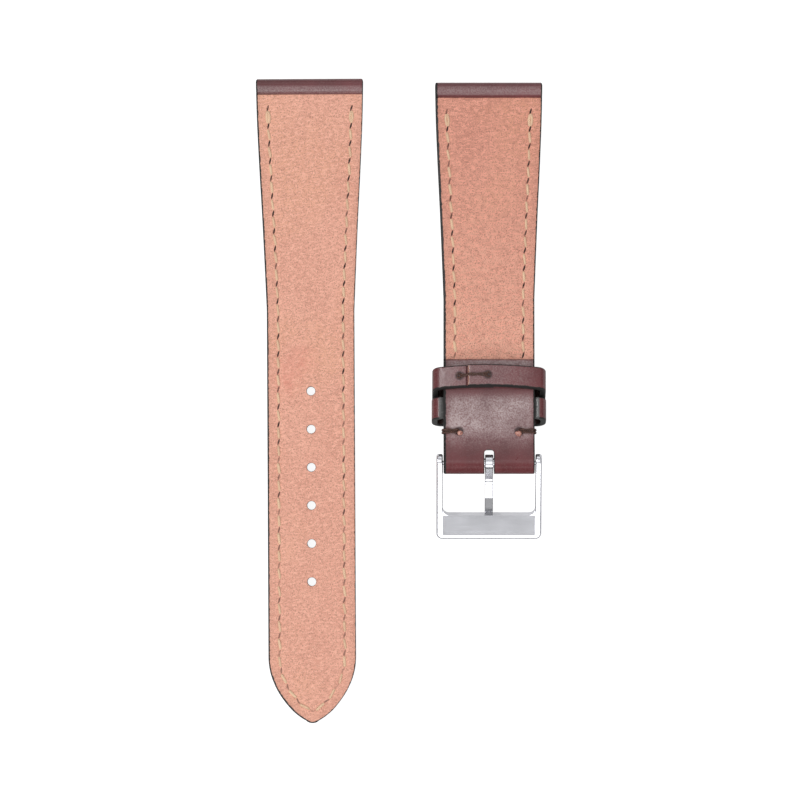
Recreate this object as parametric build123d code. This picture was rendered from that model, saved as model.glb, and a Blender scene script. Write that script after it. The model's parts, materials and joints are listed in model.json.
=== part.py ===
from build123d import *
import os
from math import asin, atan2, cos, degrees, hypot, radians, sin, tan

# Leather wrist watch strap in two halves, lying lining side up, in millimetres.
# +X runs across the strap to the right, +Y towards the watch ends, +Z up from the floor.
# Each half is drawn flat with its watch end at y = 0, its front face at z = 0 and its
# other end towards -Y. The buckle is drawn with the axis of its spring bar at 0, 0, 0.

# Widths and lengths of the halves
lug_width = 20.0
long_length = 120.0
long_tail_width = 16.3
long_taper_length = 43.2
tip_length = 12.3
short_length = 73.2
short_end_width = 16.9
short_taper_length = 40.4

# Leather layers
outer_thickness = 1.1
interlining_thickness = 0.3
lining_thickness = 1.0

# Turned watch ends
lug_bore_radius = 0.9
lug_wall = 0.65
turn_length = 8.0

# Fold round the buckle's spring bar
fold_bore_radius = 0.95
fold_slope_length = 5.0
flap_length = 19.3
tongue_slot_side_clearance = 0.15
slot_back_clearance = 0.35
slot_front_clearance = 1.85

# Tongue holes in the long half
hole_count = 6
hole_radius = 0.8
hole_pitch = 7.1
first_hole_distance = 58.2

# Stitching, a lock stitch of one thread on each face
stitch_pitch = 3.25
stitch_inset = 2.1
stitch_start = 5.0
stitch_end_margin = 0.7
stitch_slant = 7.0
stitch_gap = 0.5
thread_width = 0.55
thread_height = 0.3
thread_hole_radius = 0.36
thread_clearance = 0.03

# Keepers
keeper_thickness = 1.1
keeper_width = 4.0
keeper_gap = 0.27
keeper_side_gap = 1.0
keeper_corner_radius = 0.9
keeper_tail_room = 0.4
free_keeper_lean = 17.0
free_keeper_rise = 1.3
free_keeper_lift = 0.4
free_keeper_lap = 0.35
lap_edge_offset = 4.0
fixed_keeper_seat = 10.3
fixed_keeper_lean = 12.0
fixed_keeper_side_gap = 1.1
keeper_end_length = 4.0
keeper_end_clearance = 0.05

# Tack threads of the fold and of the free keeper
tack_width = 0.7
tack_thickness = 0.4
tack_seat = 5.9
tack_hole_distance = 2.9
tack_clearance = 0.05
keeper_thread_span = 5.4
keeper_thread_right = 0.2

# Buckle frame
buckle_side_clearance = 0.15
leg_thickness = 1.2
leg_height = 2.6
leg_overhang = 1.7
window_length = 10.4
bar_width = 4.6
bar_rim_width = 0.9
bar_edge_thickness = 1.8
bar_rim_step = 0.3
buckle_corner_radius = 1.2
buckle_edge_radius = 0.45
leg_inner_radius = 0.3
window_corner_radius = 1.2
tongue_rest_depth = 0.35

# Buckle tongue
tongue_width = 1.5
tongue_thickness = 0.6
tongue_end_inset = 1.3
tongue_bend_distance = 7.0
tongue_bend_depth = 0.45
tongue_tail_length = 3.4
tongue_edge_radius = 0.15
tongue_clearance = 0.03

# Spring bar of the buckle
tube_clearance = 0.07
tube_wall = 0.28
tube_end_clearance = 0.45
tube_lip_length = 0.5
pivot_radius = 0.4
pivot_clearance = 0.04
pivot_flange_length = 0.6
pivot_reach = 0.8
pivot_end_clearance = 0.1
spring_wire_radius = 0.09
spring_turns = 16

# Lie of the halves beside each other
halves_gap = 13.4
short_set_back = 0.8
long_lay_angle = 0.29

# Outline shares: along the taper and of the width lost, then across and down the tip
taper_shares = ((0, 0), (0.15, 0.07), (0.35, 0.27), (0.6, 0.58), (0.85, 0.85), (1, 1))
tip_shares = ((1, 0), (0.834, 0.455), (0.617, 0.683), (0.35, 0.87), (0.16, 0.955), (0, 1))
tip_inset_share = 1.1
lap_fade_share = 0.75

overrun = 5.0

# Worked out from the sizes above
body_thickness = outer_thickness + interlining_thickness + lining_thickness
lining_level = outer_thickness + interlining_thickness
lug_radius = lug_bore_radius + lug_wall
fold_radius = fold_bore_radius + outer_thickness
bar_distance = short_length - fold_radius
keeper_floor = -body_thickness - keeper_tail_room
keeper_end_level = (outer_thickness + lining_level) / 2
lug_half = lug_width / 2
fold_half = short_end_width / 2
half_spacing = lug_width + halves_gap
buckle_inner_width = short_end_width + 2 * buckle_side_clearance
tongue_eye_radius = fold_bore_radius + tongue_thickness
tongue_slot_width = tongue_width + 2 * tongue_slot_side_clearance
slot_reach_back = tongue_eye_radius + slot_back_clearance
slot_reach_front = tongue_eye_radius + slot_front_clearance
tongue_length = window_length + bar_width - tongue_end_inset
tube_radius = fold_bore_radius - tube_clearance
tube_length = buckle_inner_width - 2 * tube_end_clearance
pivot_hole_depth = pivot_reach + pivot_end_clearance
fixed_lean_shift = (keeper_end_level - keeper_floor) * tan(radians(fixed_keeper_lean))
free_lean_shift = (body_thickness - keeper_floor) * tan(radians(free_keeper_lean))
free_keeper_seat = fixed_keeper_seat + keeper_width + keeper_gap + free_lean_shift - fixed_lean_shift


def taper_edge(tail_width, taper_length, inset):
    """Right-hand edge of a half, from its watch end down to its parallel sides."""
    loss = (lug_width - tail_width) / 2
    points = [
        (lug_half - inset - loss * narrow, -taper_length * along)
        for along, narrow in taper_shares
    ]
    return Spline(*points)


def long_side(inset=0):
    """Right-hand edges of the long half, from its watch end to its tip."""
    taper = taper_edge(long_tail_width, long_taper_length, inset)
    half = long_tail_width / 2 - inset
    shoulder = tip_length - long_length
    drop = tip_length - inset * tip_inset_share
    points = [(half * across, shoulder - drop * down) for across, down in tip_shares]
    tip = Spline(*points, tangents=[(0, -1), (-1, 0)])
    return [taper, Line((half, -long_taper_length), (half, shoulder)), tip]


def short_side(end, inset=0):
    """Right-hand edges of the short half, from its watch end down to y = end."""
    taper = taper_edge(short_end_width, short_taper_length, inset)
    half = fold_half - inset
    return [taper, Line((half, -short_taper_length), (half, end))]


def mirrored(edges):
    """The same edges on the left-hand side."""
    return [edge.mirror(Plane.YZ) for edge in edges]


def plan_face(side, closed_end):
    """Plan outline of a half, between its right-hand edges and their mirror image."""
    top = side[0] @ 0
    edges = [Line((-top.X, top.Y), (top.X, top.Y)), *side, *mirrored(side)]
    if not closed_end:
        low = side[-1] @ 1
        edges.append(Line((-low.X, low.Y), (low.X, low.Y)))
    return make_face(edges)


def stitch_row(path, start, end):
    """Hole places along a stitch line, evenly spaced as near the pitch as fits."""
    stitches = round((end - start) / stitch_pitch)
    step = (end - start) / stitches
    mode = PositionMode.LENGTH
    return [path.position_at(start + step * n, position_mode=mode) for n in range(stitches + 1)]


def raised(faces, low, high):
    """Each face of a list made solid between two heights."""
    return [Pos(0, 0, low) * extrude(face, high - low) for face in faces]


def hole_discs(row, radius):
    """Round thread holes of a stitch row."""
    return [Pos(place.X, place.Y) * Circle(radius) for place in row]


def stitch_slots(row, grow=0):
    """Plan shapes of the thread between each hole and the next, a little slanted."""
    slots = []
    for here, there in zip(row, row[1:]):
        middle = (here + there) / 2
        turn = degrees(atan2(there.Y - here.Y, there.X - here.X)) + stitch_slant
        length = (there - here).length - stitch_gap + 2 * grow
        slot = SlotOverall(length, thread_width + 2 * grow)
        slots.append(Pos(middle.X, middle.Y) * Rot(0, 0, turn) * slot)
    return slots


def stitch_thread(row, bar_low, bar_high, pin_low, pin_high):
    """One thread of a lock stitch: a bar for each stitch, joined by pins half way down."""
    bars = raised(stitch_slots(row), bar_low, bar_high)
    pins = raised(hole_discs(row, thread_hole_radius - thread_clearance), pin_low, pin_high)
    return bars[0].fuse(*bars[1:], *pins)


def back_thread(row):
    """Thread of the lining face, lying on the leather."""
    top = body_thickness + thread_height
    return stitch_thread(row, body_thickness, top, body_thickness / 2, body_thickness)


def front_thread(row):
    """Thread of the front face, sunk in the leather."""
    top = thread_clearance + thread_height
    return stitch_thread(row, thread_clearance, top, top, body_thickness / 2)


def stitch_holes(rows, low, high):
    """Round cuts for the thread between two heights."""
    discs = [disc for row in rows for disc in hole_discs(row, thread_hole_radius)]
    return raised(discs, low - thread_clearance, high + thread_clearance)


def stitch_beds(rows):
    """Cuts in the front face that the front thread lies in."""
    slots = [slot for row in rows for slot in stitch_slots(row, thread_clearance)]
    return raised(slots, -thread_clearance, thread_clearance + thread_height)


def across(face, width=lug_width + 2 * overrun):
    """A section drawn as (along, up) made solid across the strap, centred on x = 0."""
    stand = Plane(origin=(-width / 2, 0, 0), x_dir=(0, 1, 0), z_dir=(1, 0, 0))
    return extrude(stand * face, width)


def lug_section_edges(low_end):
    """Section edges of the turned watch end, from its underside over to the layers."""
    back = -lug_radius - (lug_radius**2 - (lining_level - lug_radius) ** 2) ** 0.5
    middle = (-lug_radius, lug_radius)
    over = CenterArc(middle, lug_radius, -90, 180)
    down_angle = degrees(atan2(lining_level - lug_radius, back + lug_radius)) % 360
    down = CenterArc(middle, lug_radius, 90, down_angle - 90)
    turn = Polyline(
        (back, lining_level),
        (-turn_length, lining_level),
        (-turn_length, outer_thickness),
        (low_end, outer_thickness),
    )
    return [over, down, turn]


def lug_bore():
    """Round tunnel for the watch's own spring bar."""
    return across(Pos(-lug_radius, lug_radius) * Circle(lug_bore_radius))


def lug_roll():
    """Round outside of the turned watch end, as a full roll."""
    return across(Pos(-lug_radius, lug_radius) * Circle(lug_radius))


def buckle_holes():
    """Row of punched tongue holes through the long half."""
    first = -first_hole_distance
    discs = [Pos(0, first - hole_pitch * n) * Circle(hole_radius) for n in range(hole_count)]
    return raised(discs, -overrun, overrun + body_thickness)


def long_outer(rows):
    """Front leather of the long half with its turned watch end."""
    low_end = -long_length - overrun
    rim = Polyline((low_end, outer_thickness), (low_end, 0), (-lug_radius, 0))
    section = make_face([*lug_section_edges(low_end), rim])
    prism = extrude(plan_face(long_side(), True), 2 * lug_radius + overrun)
    holes = stitch_holes(rows, 0, lining_level)
    return (across(section) & prism) - [lug_bore(), *buckle_holes(), *holes, *stitch_beds(rows)]


def layer(plan, start, low, high, cuts):
    """One flat layer of a half, between two heights, starting below the watch end."""
    slab = Pos(0, 0, low) * extrude(plan, high - low)
    end = Pos(0, -start, low) * Box(
        lug_width + overrun, start * 2, (high - low) * 2, align=(Align.CENTER, Align.MIN, Align.CENTER)
    )
    return slab - [end, *cuts]


def long_interlining(rows):
    """Stiffening layer inside the long half."""
    plan = plan_face(long_side(), True)
    cuts = [*buckle_holes(), *stitch_holes(rows, outer_thickness, lining_level)]
    return layer(plan, turn_length, outer_thickness, lining_level, cuts)


def long_lining(rows):
    """Leather against the wrist on the long half."""
    plan = plan_face(long_side(), True)
    cuts = [lug_roll(), *buckle_holes(), *stitch_holes(rows, lining_level, body_thickness)]
    return layer(plan, lug_radius, lining_level, body_thickness, cuts)


def tongue_slot():
    """Slot through the fold for the tongue, longer on the front than on the back."""
    half = tongue_slot_width / 2
    cuts = []
    for reach, low, high in (
        (slot_reach_front, -overrun, fold_radius),
        (slot_reach_back, fold_radius, 2 * fold_radius + overrun),
    ):
        north = -bar_distance + reach - half
        south = -short_length - overrun
        plan = Pos(0, (north + south) / 2) * Rectangle(tongue_slot_width, north - south)
        plan += Pos(0, north) * Circle(half)
        cuts.append(Pos(0, 0, low) * extrude(plan, high - low))
    return cuts


def short_outer(rows, tacks):
    """Front leather of the short half, turned at the watch end and folded round the bar."""
    slope_end = fold_slope_length - bar_distance
    flap_end = flap_length - bar_distance
    crest = (-bar_distance, 2 * fold_radius)
    fold = CenterArc((-bar_distance, fold_radius), fold_radius, 90, 180)
    steps = Polyline(
        (slope_end, outer_thickness),
        (slope_end, lining_level),
        (flap_end, lining_level),
        (flap_end, body_thickness),
        (slope_end, body_thickness),
    )
    slope = Spline((slope_end, body_thickness), crest, tangents=[(-1, 0), (-1, 0)])
    under = Line((-bar_distance, 0), (-lug_radius, 0))
    section = make_face([*lug_section_edges(slope_end), steps, slope, fold, under])
    plan = plan_face(short_side(-short_length - overrun), False)
    prism = extrude(plan, 2 * fold_radius + overrun)
    bore = across(Pos(-bar_distance, fold_radius) * Circle(fold_bore_radius))
    holes = stitch_holes(rows, 0, lining_level)
    cuts = [lug_bore(), bore, *tongue_slot(), *holes, *stitch_beds(rows), *tacks]
    return (across(section) & prism) - cuts


def short_interlining(rows, tacks, keeper_ends):
    """Stiffening layer inside the short half, with room for the fixed keeper's ends."""
    plan = plan_face(short_side(fold_slope_length - bar_distance), False)
    holes = stitch_holes(rows, outer_thickness, lining_level)
    return layer(plan, turn_length, outer_thickness, lining_level, [*holes, *tacks, *keeper_ends])


def short_lining(rows):
    """Leather against the wrist on the short half, up to the end of the flap."""
    plan = plan_face(short_side(flap_length - bar_distance), False)
    holes = stitch_holes(rows, lining_level, body_thickness)
    return layer(plan, lug_radius, lining_level, body_thickness, [lug_roll(), *holes])


def leaning_plane(seat, level, lean):
    """Upright plane across the strap that leans with a keeper, at its edge nearer the buckle."""
    return Plane(
        origin=(0, seat - bar_distance - keeper_width / 2, level),
        x_dir=(1, 0, 0),
        z_dir=(0, -cos(radians(lean)), sin(radians(lean))),
    )


def keeper_tube(inner, seat, level, lean):
    """Band of strap leather round an inner outline, pushed askew by its lean."""
    band = offset(inner, keeper_thickness) - inner
    return extrude(leaning_plane(seat, level, lean) * band, keeper_width, dir=(0, 1, 0))


def free_keeper_inner():
    """Inner outline of the free keeper, arched over the lining."""
    stretch = 1 / cos(radians(free_keeper_lean))
    half = fold_half + keeper_side_gap
    low = (keeper_floor - body_thickness) * stretch
    high = free_keeper_lift * stretch
    walls = Polyline((-half, high), (-half, low), (half, low), (half, high))
    arch = ThreePointArc((half, high), (0, high + free_keeper_rise), (-half, high))
    face = make_face([walls, arch])
    return fillet(face.vertices(), keeper_corner_radius)


def free_keeper_top(x):
    """Height above the lining of the free keeper's outer face, in its leaning plane."""
    half = fold_half + keeper_side_gap
    radius = (half**2 + free_keeper_rise**2) / (2 * free_keeper_rise)
    middle = free_keeper_lift / cos(radians(free_keeper_lean)) + free_keeper_rise - radius
    return middle + ((radius + keeper_thickness) ** 2 - x**2) ** 0.5


def free_keeper(thread_cut):
    """Sliding keeper: a closed band whose right-hand end laps over its left-hand end."""
    band = keeper_tube(free_keeper_inner(), free_keeper_seat, body_thickness, free_keeper_lean)
    left = -lap_edge_offset
    right = fold_half * lap_fade_share
    sink = keeper_thickness / 2
    middle = (left + right) / 2
    outline = [
        Line((left, free_keeper_top(left) - sink), (left, free_keeper_top(left) + free_keeper_lap)),
        ThreePointArc(
            (left, free_keeper_top(left) + free_keeper_lap),
            (middle, free_keeper_top(middle) + free_keeper_lap / 2),
            (right, free_keeper_top(right)),
        ),
        Line((right, free_keeper_top(right)), (right, free_keeper_top(right) - sink)),
        Line((right, free_keeper_top(right) - sink), (left, free_keeper_top(left) - sink)),
    ]
    lap_plane = leaning_plane(free_keeper_seat, body_thickness, free_keeper_lean)
    lap = extrude(lap_plane * make_face(outline), keeper_width, dir=(0, 1, 0))
    return (band + lap) - thread_cut


def thread_loop(width, height, grow=0):
    """Flat loop of thread round a rectangle of leather, drawn across the strap."""
    gap = Rectangle(width - 2 * grow, height - 2 * grow)
    outside = RectangleRounded(
        width + 2 * (tack_thickness + grow), height + 2 * (tack_thickness + grow), tack_thickness
    )
    stand = Plane(origin=(0, tack_width / 2 + grow, 0), x_dir=(1, 0, 0), z_dir=(0, -1, 0))
    return extrude(stand * (outside - gap), tack_width + 2 * grow)


def keeper_thread(grow=0):
    """Tack thread over the lap of the free keeper, through two holes."""
    right = -keeper_thread_right
    left = right - keeper_thread_span
    lap_left = free_keeper_top(left)
    lap_right = free_keeper_top(right) + free_keeper_lap * lap_fade_share
    slope = degrees(atan2(lap_right - lap_left, keeper_thread_span))
    lift = (lap_left + lap_right) / 2
    top = lift + free_keeper_lap / 2
    bottom = lift - keeper_thickness - free_keeper_lap
    plane = leaning_plane(free_keeper_seat, body_thickness, free_keeper_lean)
    up = cos(radians(free_keeper_lean))
    middle = (top + bottom) / 2
    place = Pos(
        (left + right) / 2,
        plane.origin.Y + keeper_width / 2 + middle * sin(radians(free_keeper_lean)),
        body_thickness + middle * up,
    )
    loop = thread_loop(keeper_thread_span - tack_thickness, (top - bottom) * up, grow)
    return place * Rot(0, -slope, 0) * loop


def fold_tack(side, grow=0):
    """Tack thread that closes the fold at one edge, through a hole and round the edge."""
    outer_gap = 2 * tack_clearance
    span = tack_hole_distance + outer_gap
    height = body_thickness + 2 * outer_gap
    middle = fold_half + outer_gap - span / 2
    place = Pos(side * middle, tack_seat - bar_distance, body_thickness / 2)
    return place * thread_loop(span, height, grow)


def fixed_keeper_ends(grow=0):
    """Thinned ends of the fixed keeper, which lie between the leather layers."""
    length = keeper_end_length + keeper_end_clearance + grow
    middle = fold_half + keeper_end_clearance - length / 2
    seat = fixed_keeper_seat - bar_distance
    end = Box(length, keeper_width + 2 * grow, interlining_thickness)
    return [Pos(side * middle, seat, keeper_end_level) * end for side in (-1, 1)]


def fixed_keeper():
    """Sewn-in keeper: a band round the front whose ends lie inside the fold."""
    stretch = 1 / cos(radians(fixed_keeper_lean))
    half = fold_half + fixed_keeper_side_gap
    low = (keeper_floor - keeper_end_level) * stretch
    high = -keeper_thickness / 2
    inner = Pos(0, (low + high) / 2) * Rectangle(2 * half, high - low)
    inner = fillet(inner.vertices(), keeper_corner_radius)
    band = keeper_tube(inner, fixed_keeper_seat, keeper_end_level, fixed_keeper_lean)
    strap = Pos(0, fixed_keeper_seat - bar_distance, keeper_end_level) * Box(
        2 * (fold_half + keeper_end_clearance), keeper_width + overrun, 2 * keeper_end_level
    )
    ends = fixed_keeper_ends()
    return (band - strap).fuse(*ends)


def along(edge, axis):
    """Whether an edge is a straight run along an axis."""
    return edge.geom_type == GeomType.LINE and abs((edge % 0).dot(axis.direction)) > cos(radians(1))


def buckle_blank():
    """Outside of the buckle frame: a flat bar with round ends and rounded outer edges."""
    reach = window_length + bar_width
    half = buckle_inner_width / 2 + leg_thickness
    end = leg_overhang - leg_height / 2
    side = Pos(end, 0) * Circle(leg_height / 2)
    side += Pos((end - reach) / 2, 0) * Rectangle(end + reach, leg_height)
    block = across(side, 2 * half)
    block = fillet(block.edges().filter_by(Axis.Z), buckle_corner_radius)
    rims = [
        edge
        for edge in block.edges()
        if not along(edge, Axis.Z) and not (along(edge, Axis.X) and edge.center().Y > -reach / 2)
    ]
    return fillet(rims, buckle_edge_radius)


def buckle_frame():
    """Open frame of the buckle: two legs, and a front bar with a raised rim."""
    half = buckle_inner_width / 2
    reach = window_length + bar_width
    depth = overrun + leg_overhang + window_length
    window = Pos(0, overrun + leg_overhang - depth / 2, 0) * Box(2 * half, depth, 2 * leg_height)
    low_corners = [edge for edge in window.edges().filter_by(Axis.Z) if edge.center().Y < 0]
    window = fillet(low_corners, window_corner_radius)
    rim = bar_rim_width - reach
    level = leg_height / 2
    face = Polyline(
        (rim, leg_height),
        (rim, level),
        (rim + bar_rim_step, level - bar_rim_step),
        (-window_length, bar_edge_thickness - level),
        (leg_height, bar_edge_thickness - level),
        (leg_height, leg_height),
        close=True,
    )
    hollow = across(make_face(face), 2 * half)
    rest = Pos(0, -reach, -level) * Box(
        tongue_width + 4 * tongue_clearance, reach * 2, 2 * tongue_rest_depth
    )
    hole = across(Circle(pivot_radius + pivot_clearance), 2 * (half + pivot_hole_depth))
    frame = buckle_blank() - window
    inner = [
        edge
        for edge in frame.edges()
        if along(edge, Axis.Y) and abs(abs(edge.center().X) - half) < leg_thickness / 4
    ]
    return fillet(inner, leg_inner_radius) - [hollow, rest, hole]


def buckle_tongue():
    """Tongue curled round the spring bar, resting on the front of the bar."""
    bore = fold_bore_radius
    eye = tongue_eye_radius
    rest_level = -leg_height / 2 + tongue_rest_depth - tongue_clearance
    shank_back = -bore
    tail = shank_back + tongue_thickness
    curl = make_hull(
        [
            Circle(eye).edge(),
            Line((-tongue_tail_length, shank_back), (-tongue_tail_length, tail)),
        ]
    )
    sag = -bore - tongue_bend_depth
    shank = make_face(
        Polyline(
            (0, -bore),
            (-tongue_bend_distance, sag),
            (-tongue_length, rest_level),
            (-tongue_length, rest_level - tongue_thickness),
            (-tongue_bend_distance, sag - tongue_thickness),
            (0, -eye),
            close=True,
        )
    )
    profile = (curl + shank) - Circle(bore)
    bar = across(profile, tongue_width)
    side_edges = bar.faces().filter_by(Axis.X).edges().filter_by(GeomType.LINE)
    return fillet(side_edges.filter_by(lambda edge: edge.length > tongue_tail_length), tongue_edge_radius)


def bar_tube():
    """Tube of the spring bar, closed in at both ends round the pivots."""
    tube = across(Circle(tube_radius) - Circle(tube_radius - tube_wall), tube_length)
    lip = across(Circle(tube_radius - tube_wall) - Circle(pivot_radius + pivot_clearance), tube_lip_length)
    out = (tube_length - tube_lip_length) / 2
    return tube + [Pos(-out, 0, 0) * lip, Pos(out, 0, 0) * lip]


def bar_pivot(side):
    """Pivot pin of the spring bar, held in the tube by its flange."""
    tip = buckle_inner_width / 2 + pivot_reach
    seat = tube_length / 2 - tube_lip_length - pivot_clearance
    start = seat - pivot_flange_length
    pin = Pos(side * (start + tip) / 2, 0, 0) * across(Circle(pivot_radius), tip - start)
    ring = Circle(tube_radius - tube_wall - pivot_clearance)
    flange = Pos(side * (seat + start) / 2, 0, 0) * across(ring, pivot_flange_length)
    return pin + flange


def bar_spring():
    """Coil spring between the two pivots, inside the tube."""
    room = tube_length / 2 - tube_lip_length - pivot_flange_length
    half = room - 2 * pivot_clearance - spring_wire_radius
    coil_radius = tube_radius - tube_wall - pivot_clearance - 2 * spring_wire_radius
    path = Helix(2 * half / spring_turns, 2 * half, coil_radius)
    ring = Plane(origin=path @ 0, z_dir=path % 0) * Circle(spring_wire_radius)
    coil = sweep(ring, path=path, is_frenet=True)
    return Pos(-half, 0, 0) * Rot(0, 90, 0) * coil


def floor_tilt():
    """Slope in degrees at which the short half lies on its watch end and its free keeper."""
    lean = radians(free_keeper_lean)
    reach = -free_lean_shift - keeper_thickness * sin(lean)
    corner_y = free_keeper_seat - bar_distance + keeper_width / 2 + reach
    corner_z = keeper_floor - keeper_thickness * cos(lean)
    run = -lug_radius - corner_y
    rise = lug_radius - corner_z
    return degrees(atan2(rise, run) - asin(lug_radius / hypot(run, rise)))


def short_place():
    """Place of the short half: tilted about its watch end until that end meets the floor."""
    tilt = radians(floor_tilt())
    floor = lug_radius * (cos(tilt) + sin(tilt)) - lug_radius
    return Pos(half_spacing, -short_set_back, -floor) * Rot(-floor_tilt(), 0, 0)


def buckle_drop(bar_height):
    """Slope in degrees at which the hanging buckle meets the floor, bar or tongue first."""
    edge = buckle_edge_radius
    bar_out, bar_down = window_length + bar_width - edge, leg_height / 2 - edge
    tongue_down = leg_height / 2 - tongue_rest_depth + tongue_clearance + tongue_thickness
    bar_slope = asin((bar_height - edge) / hypot(bar_out, bar_down)) - atan2(bar_down, bar_out)
    tongue_slope = asin(bar_height / hypot(tongue_length, tongue_down)) - atan2(tongue_down, tongue_length)
    return degrees(min(bar_slope, tongue_slope))


def long_half():
    """Pieces of the long half by name, drawn flat."""
    side = long_side(stitch_inset)
    path = Wire([*side, *mirrored(side)])
    row = stitch_row(path, stitch_start, path.length - stitch_start)
    return {
        "long_outer": long_outer([row]),
        "long_interlining": long_interlining([row]),
        "long_lining": long_lining([row]),
        "long_back_thread": back_thread(row),
        "long_front_thread": front_thread(row),
    }


def short_half():
    """Pieces of the short half's leather and thread by name, drawn flat."""
    last = bar_distance - flap_length - stitch_end_margin
    side = short_side(-bar_distance, stitch_inset)
    rows = {
        "left": stitch_row(Wire(mirrored(side)), stitch_start, last),
        "right": stitch_row(Wire(side), stitch_start, last),
    }
    both = list(rows.values())
    tack_cuts = [fold_tack(side, tack_clearance) for side in (-1, 1)]
    pieces = {
        "short_outer": short_outer(both, tack_cuts),
        "short_interlining": short_interlining(both, tack_cuts, fixed_keeper_ends(keeper_end_clearance)),
        "short_lining": short_lining(both),
        "fixed_keeper": fixed_keeper(),
        "fold_tack_left": fold_tack(-1),
        "fold_tack_right": fold_tack(1),
        "free_keeper": free_keeper(keeper_thread(tack_clearance)),
        "free_keeper_thread": keeper_thread(),
    }
    for side, row in rows.items():
        pieces["short_back_thread_" + side] = back_thread(row)
        pieces["short_front_thread_" + side] = front_thread(row)
    return pieces


def buckle():
    """Pieces of the buckle and its spring bar by name, drawn about the bar's axis."""
    return {
        "buckle_frame": buckle_frame(),
        "buckle_tongue": buckle_tongue(),
        "bar_tube": bar_tube(),
        "bar_pivot_left": bar_pivot(-1),
        "bar_pivot_right": bar_pivot(1),
        "bar_spring": bar_spring(),
    }


def strap():
    """Every piece by name where it lies, centred over the middle of the floor it covers."""
    long_place = Rot(0, 0, long_lay_angle)
    place = short_place()
    bar_axis = (place * Pos(0, -bar_distance, fold_radius)).position
    buckle_place = Pos(*bar_axis) * Rot(buckle_drop(bar_axis.Z), 0, 0)
    pieces = {name: long_place * piece for name, piece in long_half().items()}
    pieces |= {name: place * piece for name, piece in short_half().items()}
    pieces |= {name: buckle_place * piece for name, piece in buckle().items()}
    box = Compound(list(pieces.values())).bounding_box()
    centre = box.center()
    shift = Pos(-centre.X, -centre.Y, -box.min.Z)
    return {name: shift * piece for name, piece in pieces.items()}


os.makedirs("parts", exist_ok=True)
for node, piece in strap().items():
    export_step(piece, "parts/" + node + ".step")
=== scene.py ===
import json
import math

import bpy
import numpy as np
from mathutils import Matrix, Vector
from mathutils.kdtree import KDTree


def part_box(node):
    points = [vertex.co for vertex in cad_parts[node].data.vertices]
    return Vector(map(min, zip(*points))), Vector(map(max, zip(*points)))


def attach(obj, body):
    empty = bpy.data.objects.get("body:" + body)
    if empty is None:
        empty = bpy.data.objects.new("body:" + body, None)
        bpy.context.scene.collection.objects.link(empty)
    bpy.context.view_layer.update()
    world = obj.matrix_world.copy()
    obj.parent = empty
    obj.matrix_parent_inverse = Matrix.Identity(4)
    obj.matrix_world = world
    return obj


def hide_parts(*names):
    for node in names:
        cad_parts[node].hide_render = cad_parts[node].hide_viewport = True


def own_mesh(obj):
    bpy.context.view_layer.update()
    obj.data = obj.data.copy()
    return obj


bl_info = {
    "name": "Leather Watch Strap",
    "version": (1, 0, 0),
    "blender": (4, 5, 0),
    "location": "3D View > Sidebar > Strap",
    "description": "Dresses the two halves of a leather watch strap, its keepers, threads and buckle",
    "category": "Object",
}

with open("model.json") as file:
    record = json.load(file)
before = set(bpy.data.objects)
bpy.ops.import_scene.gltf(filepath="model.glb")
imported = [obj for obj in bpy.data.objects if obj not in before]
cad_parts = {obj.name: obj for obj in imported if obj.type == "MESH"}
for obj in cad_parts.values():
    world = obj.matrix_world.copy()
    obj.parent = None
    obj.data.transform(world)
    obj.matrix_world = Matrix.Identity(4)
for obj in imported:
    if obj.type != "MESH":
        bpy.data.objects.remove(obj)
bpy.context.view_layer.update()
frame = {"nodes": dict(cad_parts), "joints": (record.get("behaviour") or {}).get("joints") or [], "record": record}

MM = 0.001
# A distance, in millimetres, beyond all that reliefs and materials look at
FAR = 99.0

# Sizes of the strap in millimetres, as its solids have them
LUG_WIDTH = 20.0
LONG_LENGTH = 120.0
LONG_TAIL_WIDTH = 16.3
LONG_TAPER_LENGTH = 43.2
TIP_LENGTH = 12.3
SHORT_LENGTH = 73.2
SHORT_END_WIDTH = 16.9
SHORT_TAPER_LENGTH = 40.4
FRONT_THICKNESS = 1.1
LINING_LEVEL = 1.4
BODY_THICKNESS = 2.4
LUG_RADIUS = 1.55
LUG_BORE_RADIUS = 0.9
TURN_LENGTH = 8.0
TURN_THICKNESS = 0.28
TURN_BEND_RADIUS = 0.3
FOLD_RADIUS = 2.05
FOLD_BORE_RADIUS = 0.95
FOLD_SLOPE_LENGTH = 5.0
FLAP_LENGTH = 19.3
BAR_DISTANCE = SHORT_LENGTH - FOLD_RADIUS
TAPER_SHARES = ((0, 0), (0.15, 0.07), (0.35, 0.27), (0.6, 0.58), (0.85, 0.85), (1, 1))
TIP_SHARES = ((1, 0), (0.834, 0.455), (0.617, 0.683), (0.35, 0.87), (0.16, 0.955), (0, 1))
TIP_INSET_SHARE = 1.1
LUG_END_CORNER = 0.4
LINING_START = 2.87
LINING_START_UNDER = 3.42
LINING_SLANT_STEPS = (0, 0.02, 0.05)
LINING_END_ROUNDING = 0.15
FOLD_CLEARANCE = 0.02
# The fold and its flap lie beyond this place along the short half
FOLD_PART = -20.0

# Tongue holes and slot
HOLE_COUNT = 6
HOLE_RADIUS = 0.8
HOLE_PITCH = 7.1
FIRST_HOLE_DISTANCE = 58.2
SLOT_HALF = 0.9
SLOT_REACH_BACK = 2.34
SLOT_REACH_FRONT = 3.4
CUT_BEYOND = 2.0
# Reach of each slot cutter, and the levels between which it cuts
SLOT_CUTTERS = ((SLOT_REACH_FRONT, -CUT_BEYOND, FOLD_RADIUS), (SLOT_REACH_BACK, FOLD_RADIUS - 0.01, 7.0))
# Rim of a hole at each face, and the steps of its punch's flare: how far out, and how much wider
HOLE_RIM = 0.15
HOLE_FLARES = ((0.08, 1.03), (0.05, 1.07), (0.05, 1.1), (0.8, 1.0))

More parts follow.
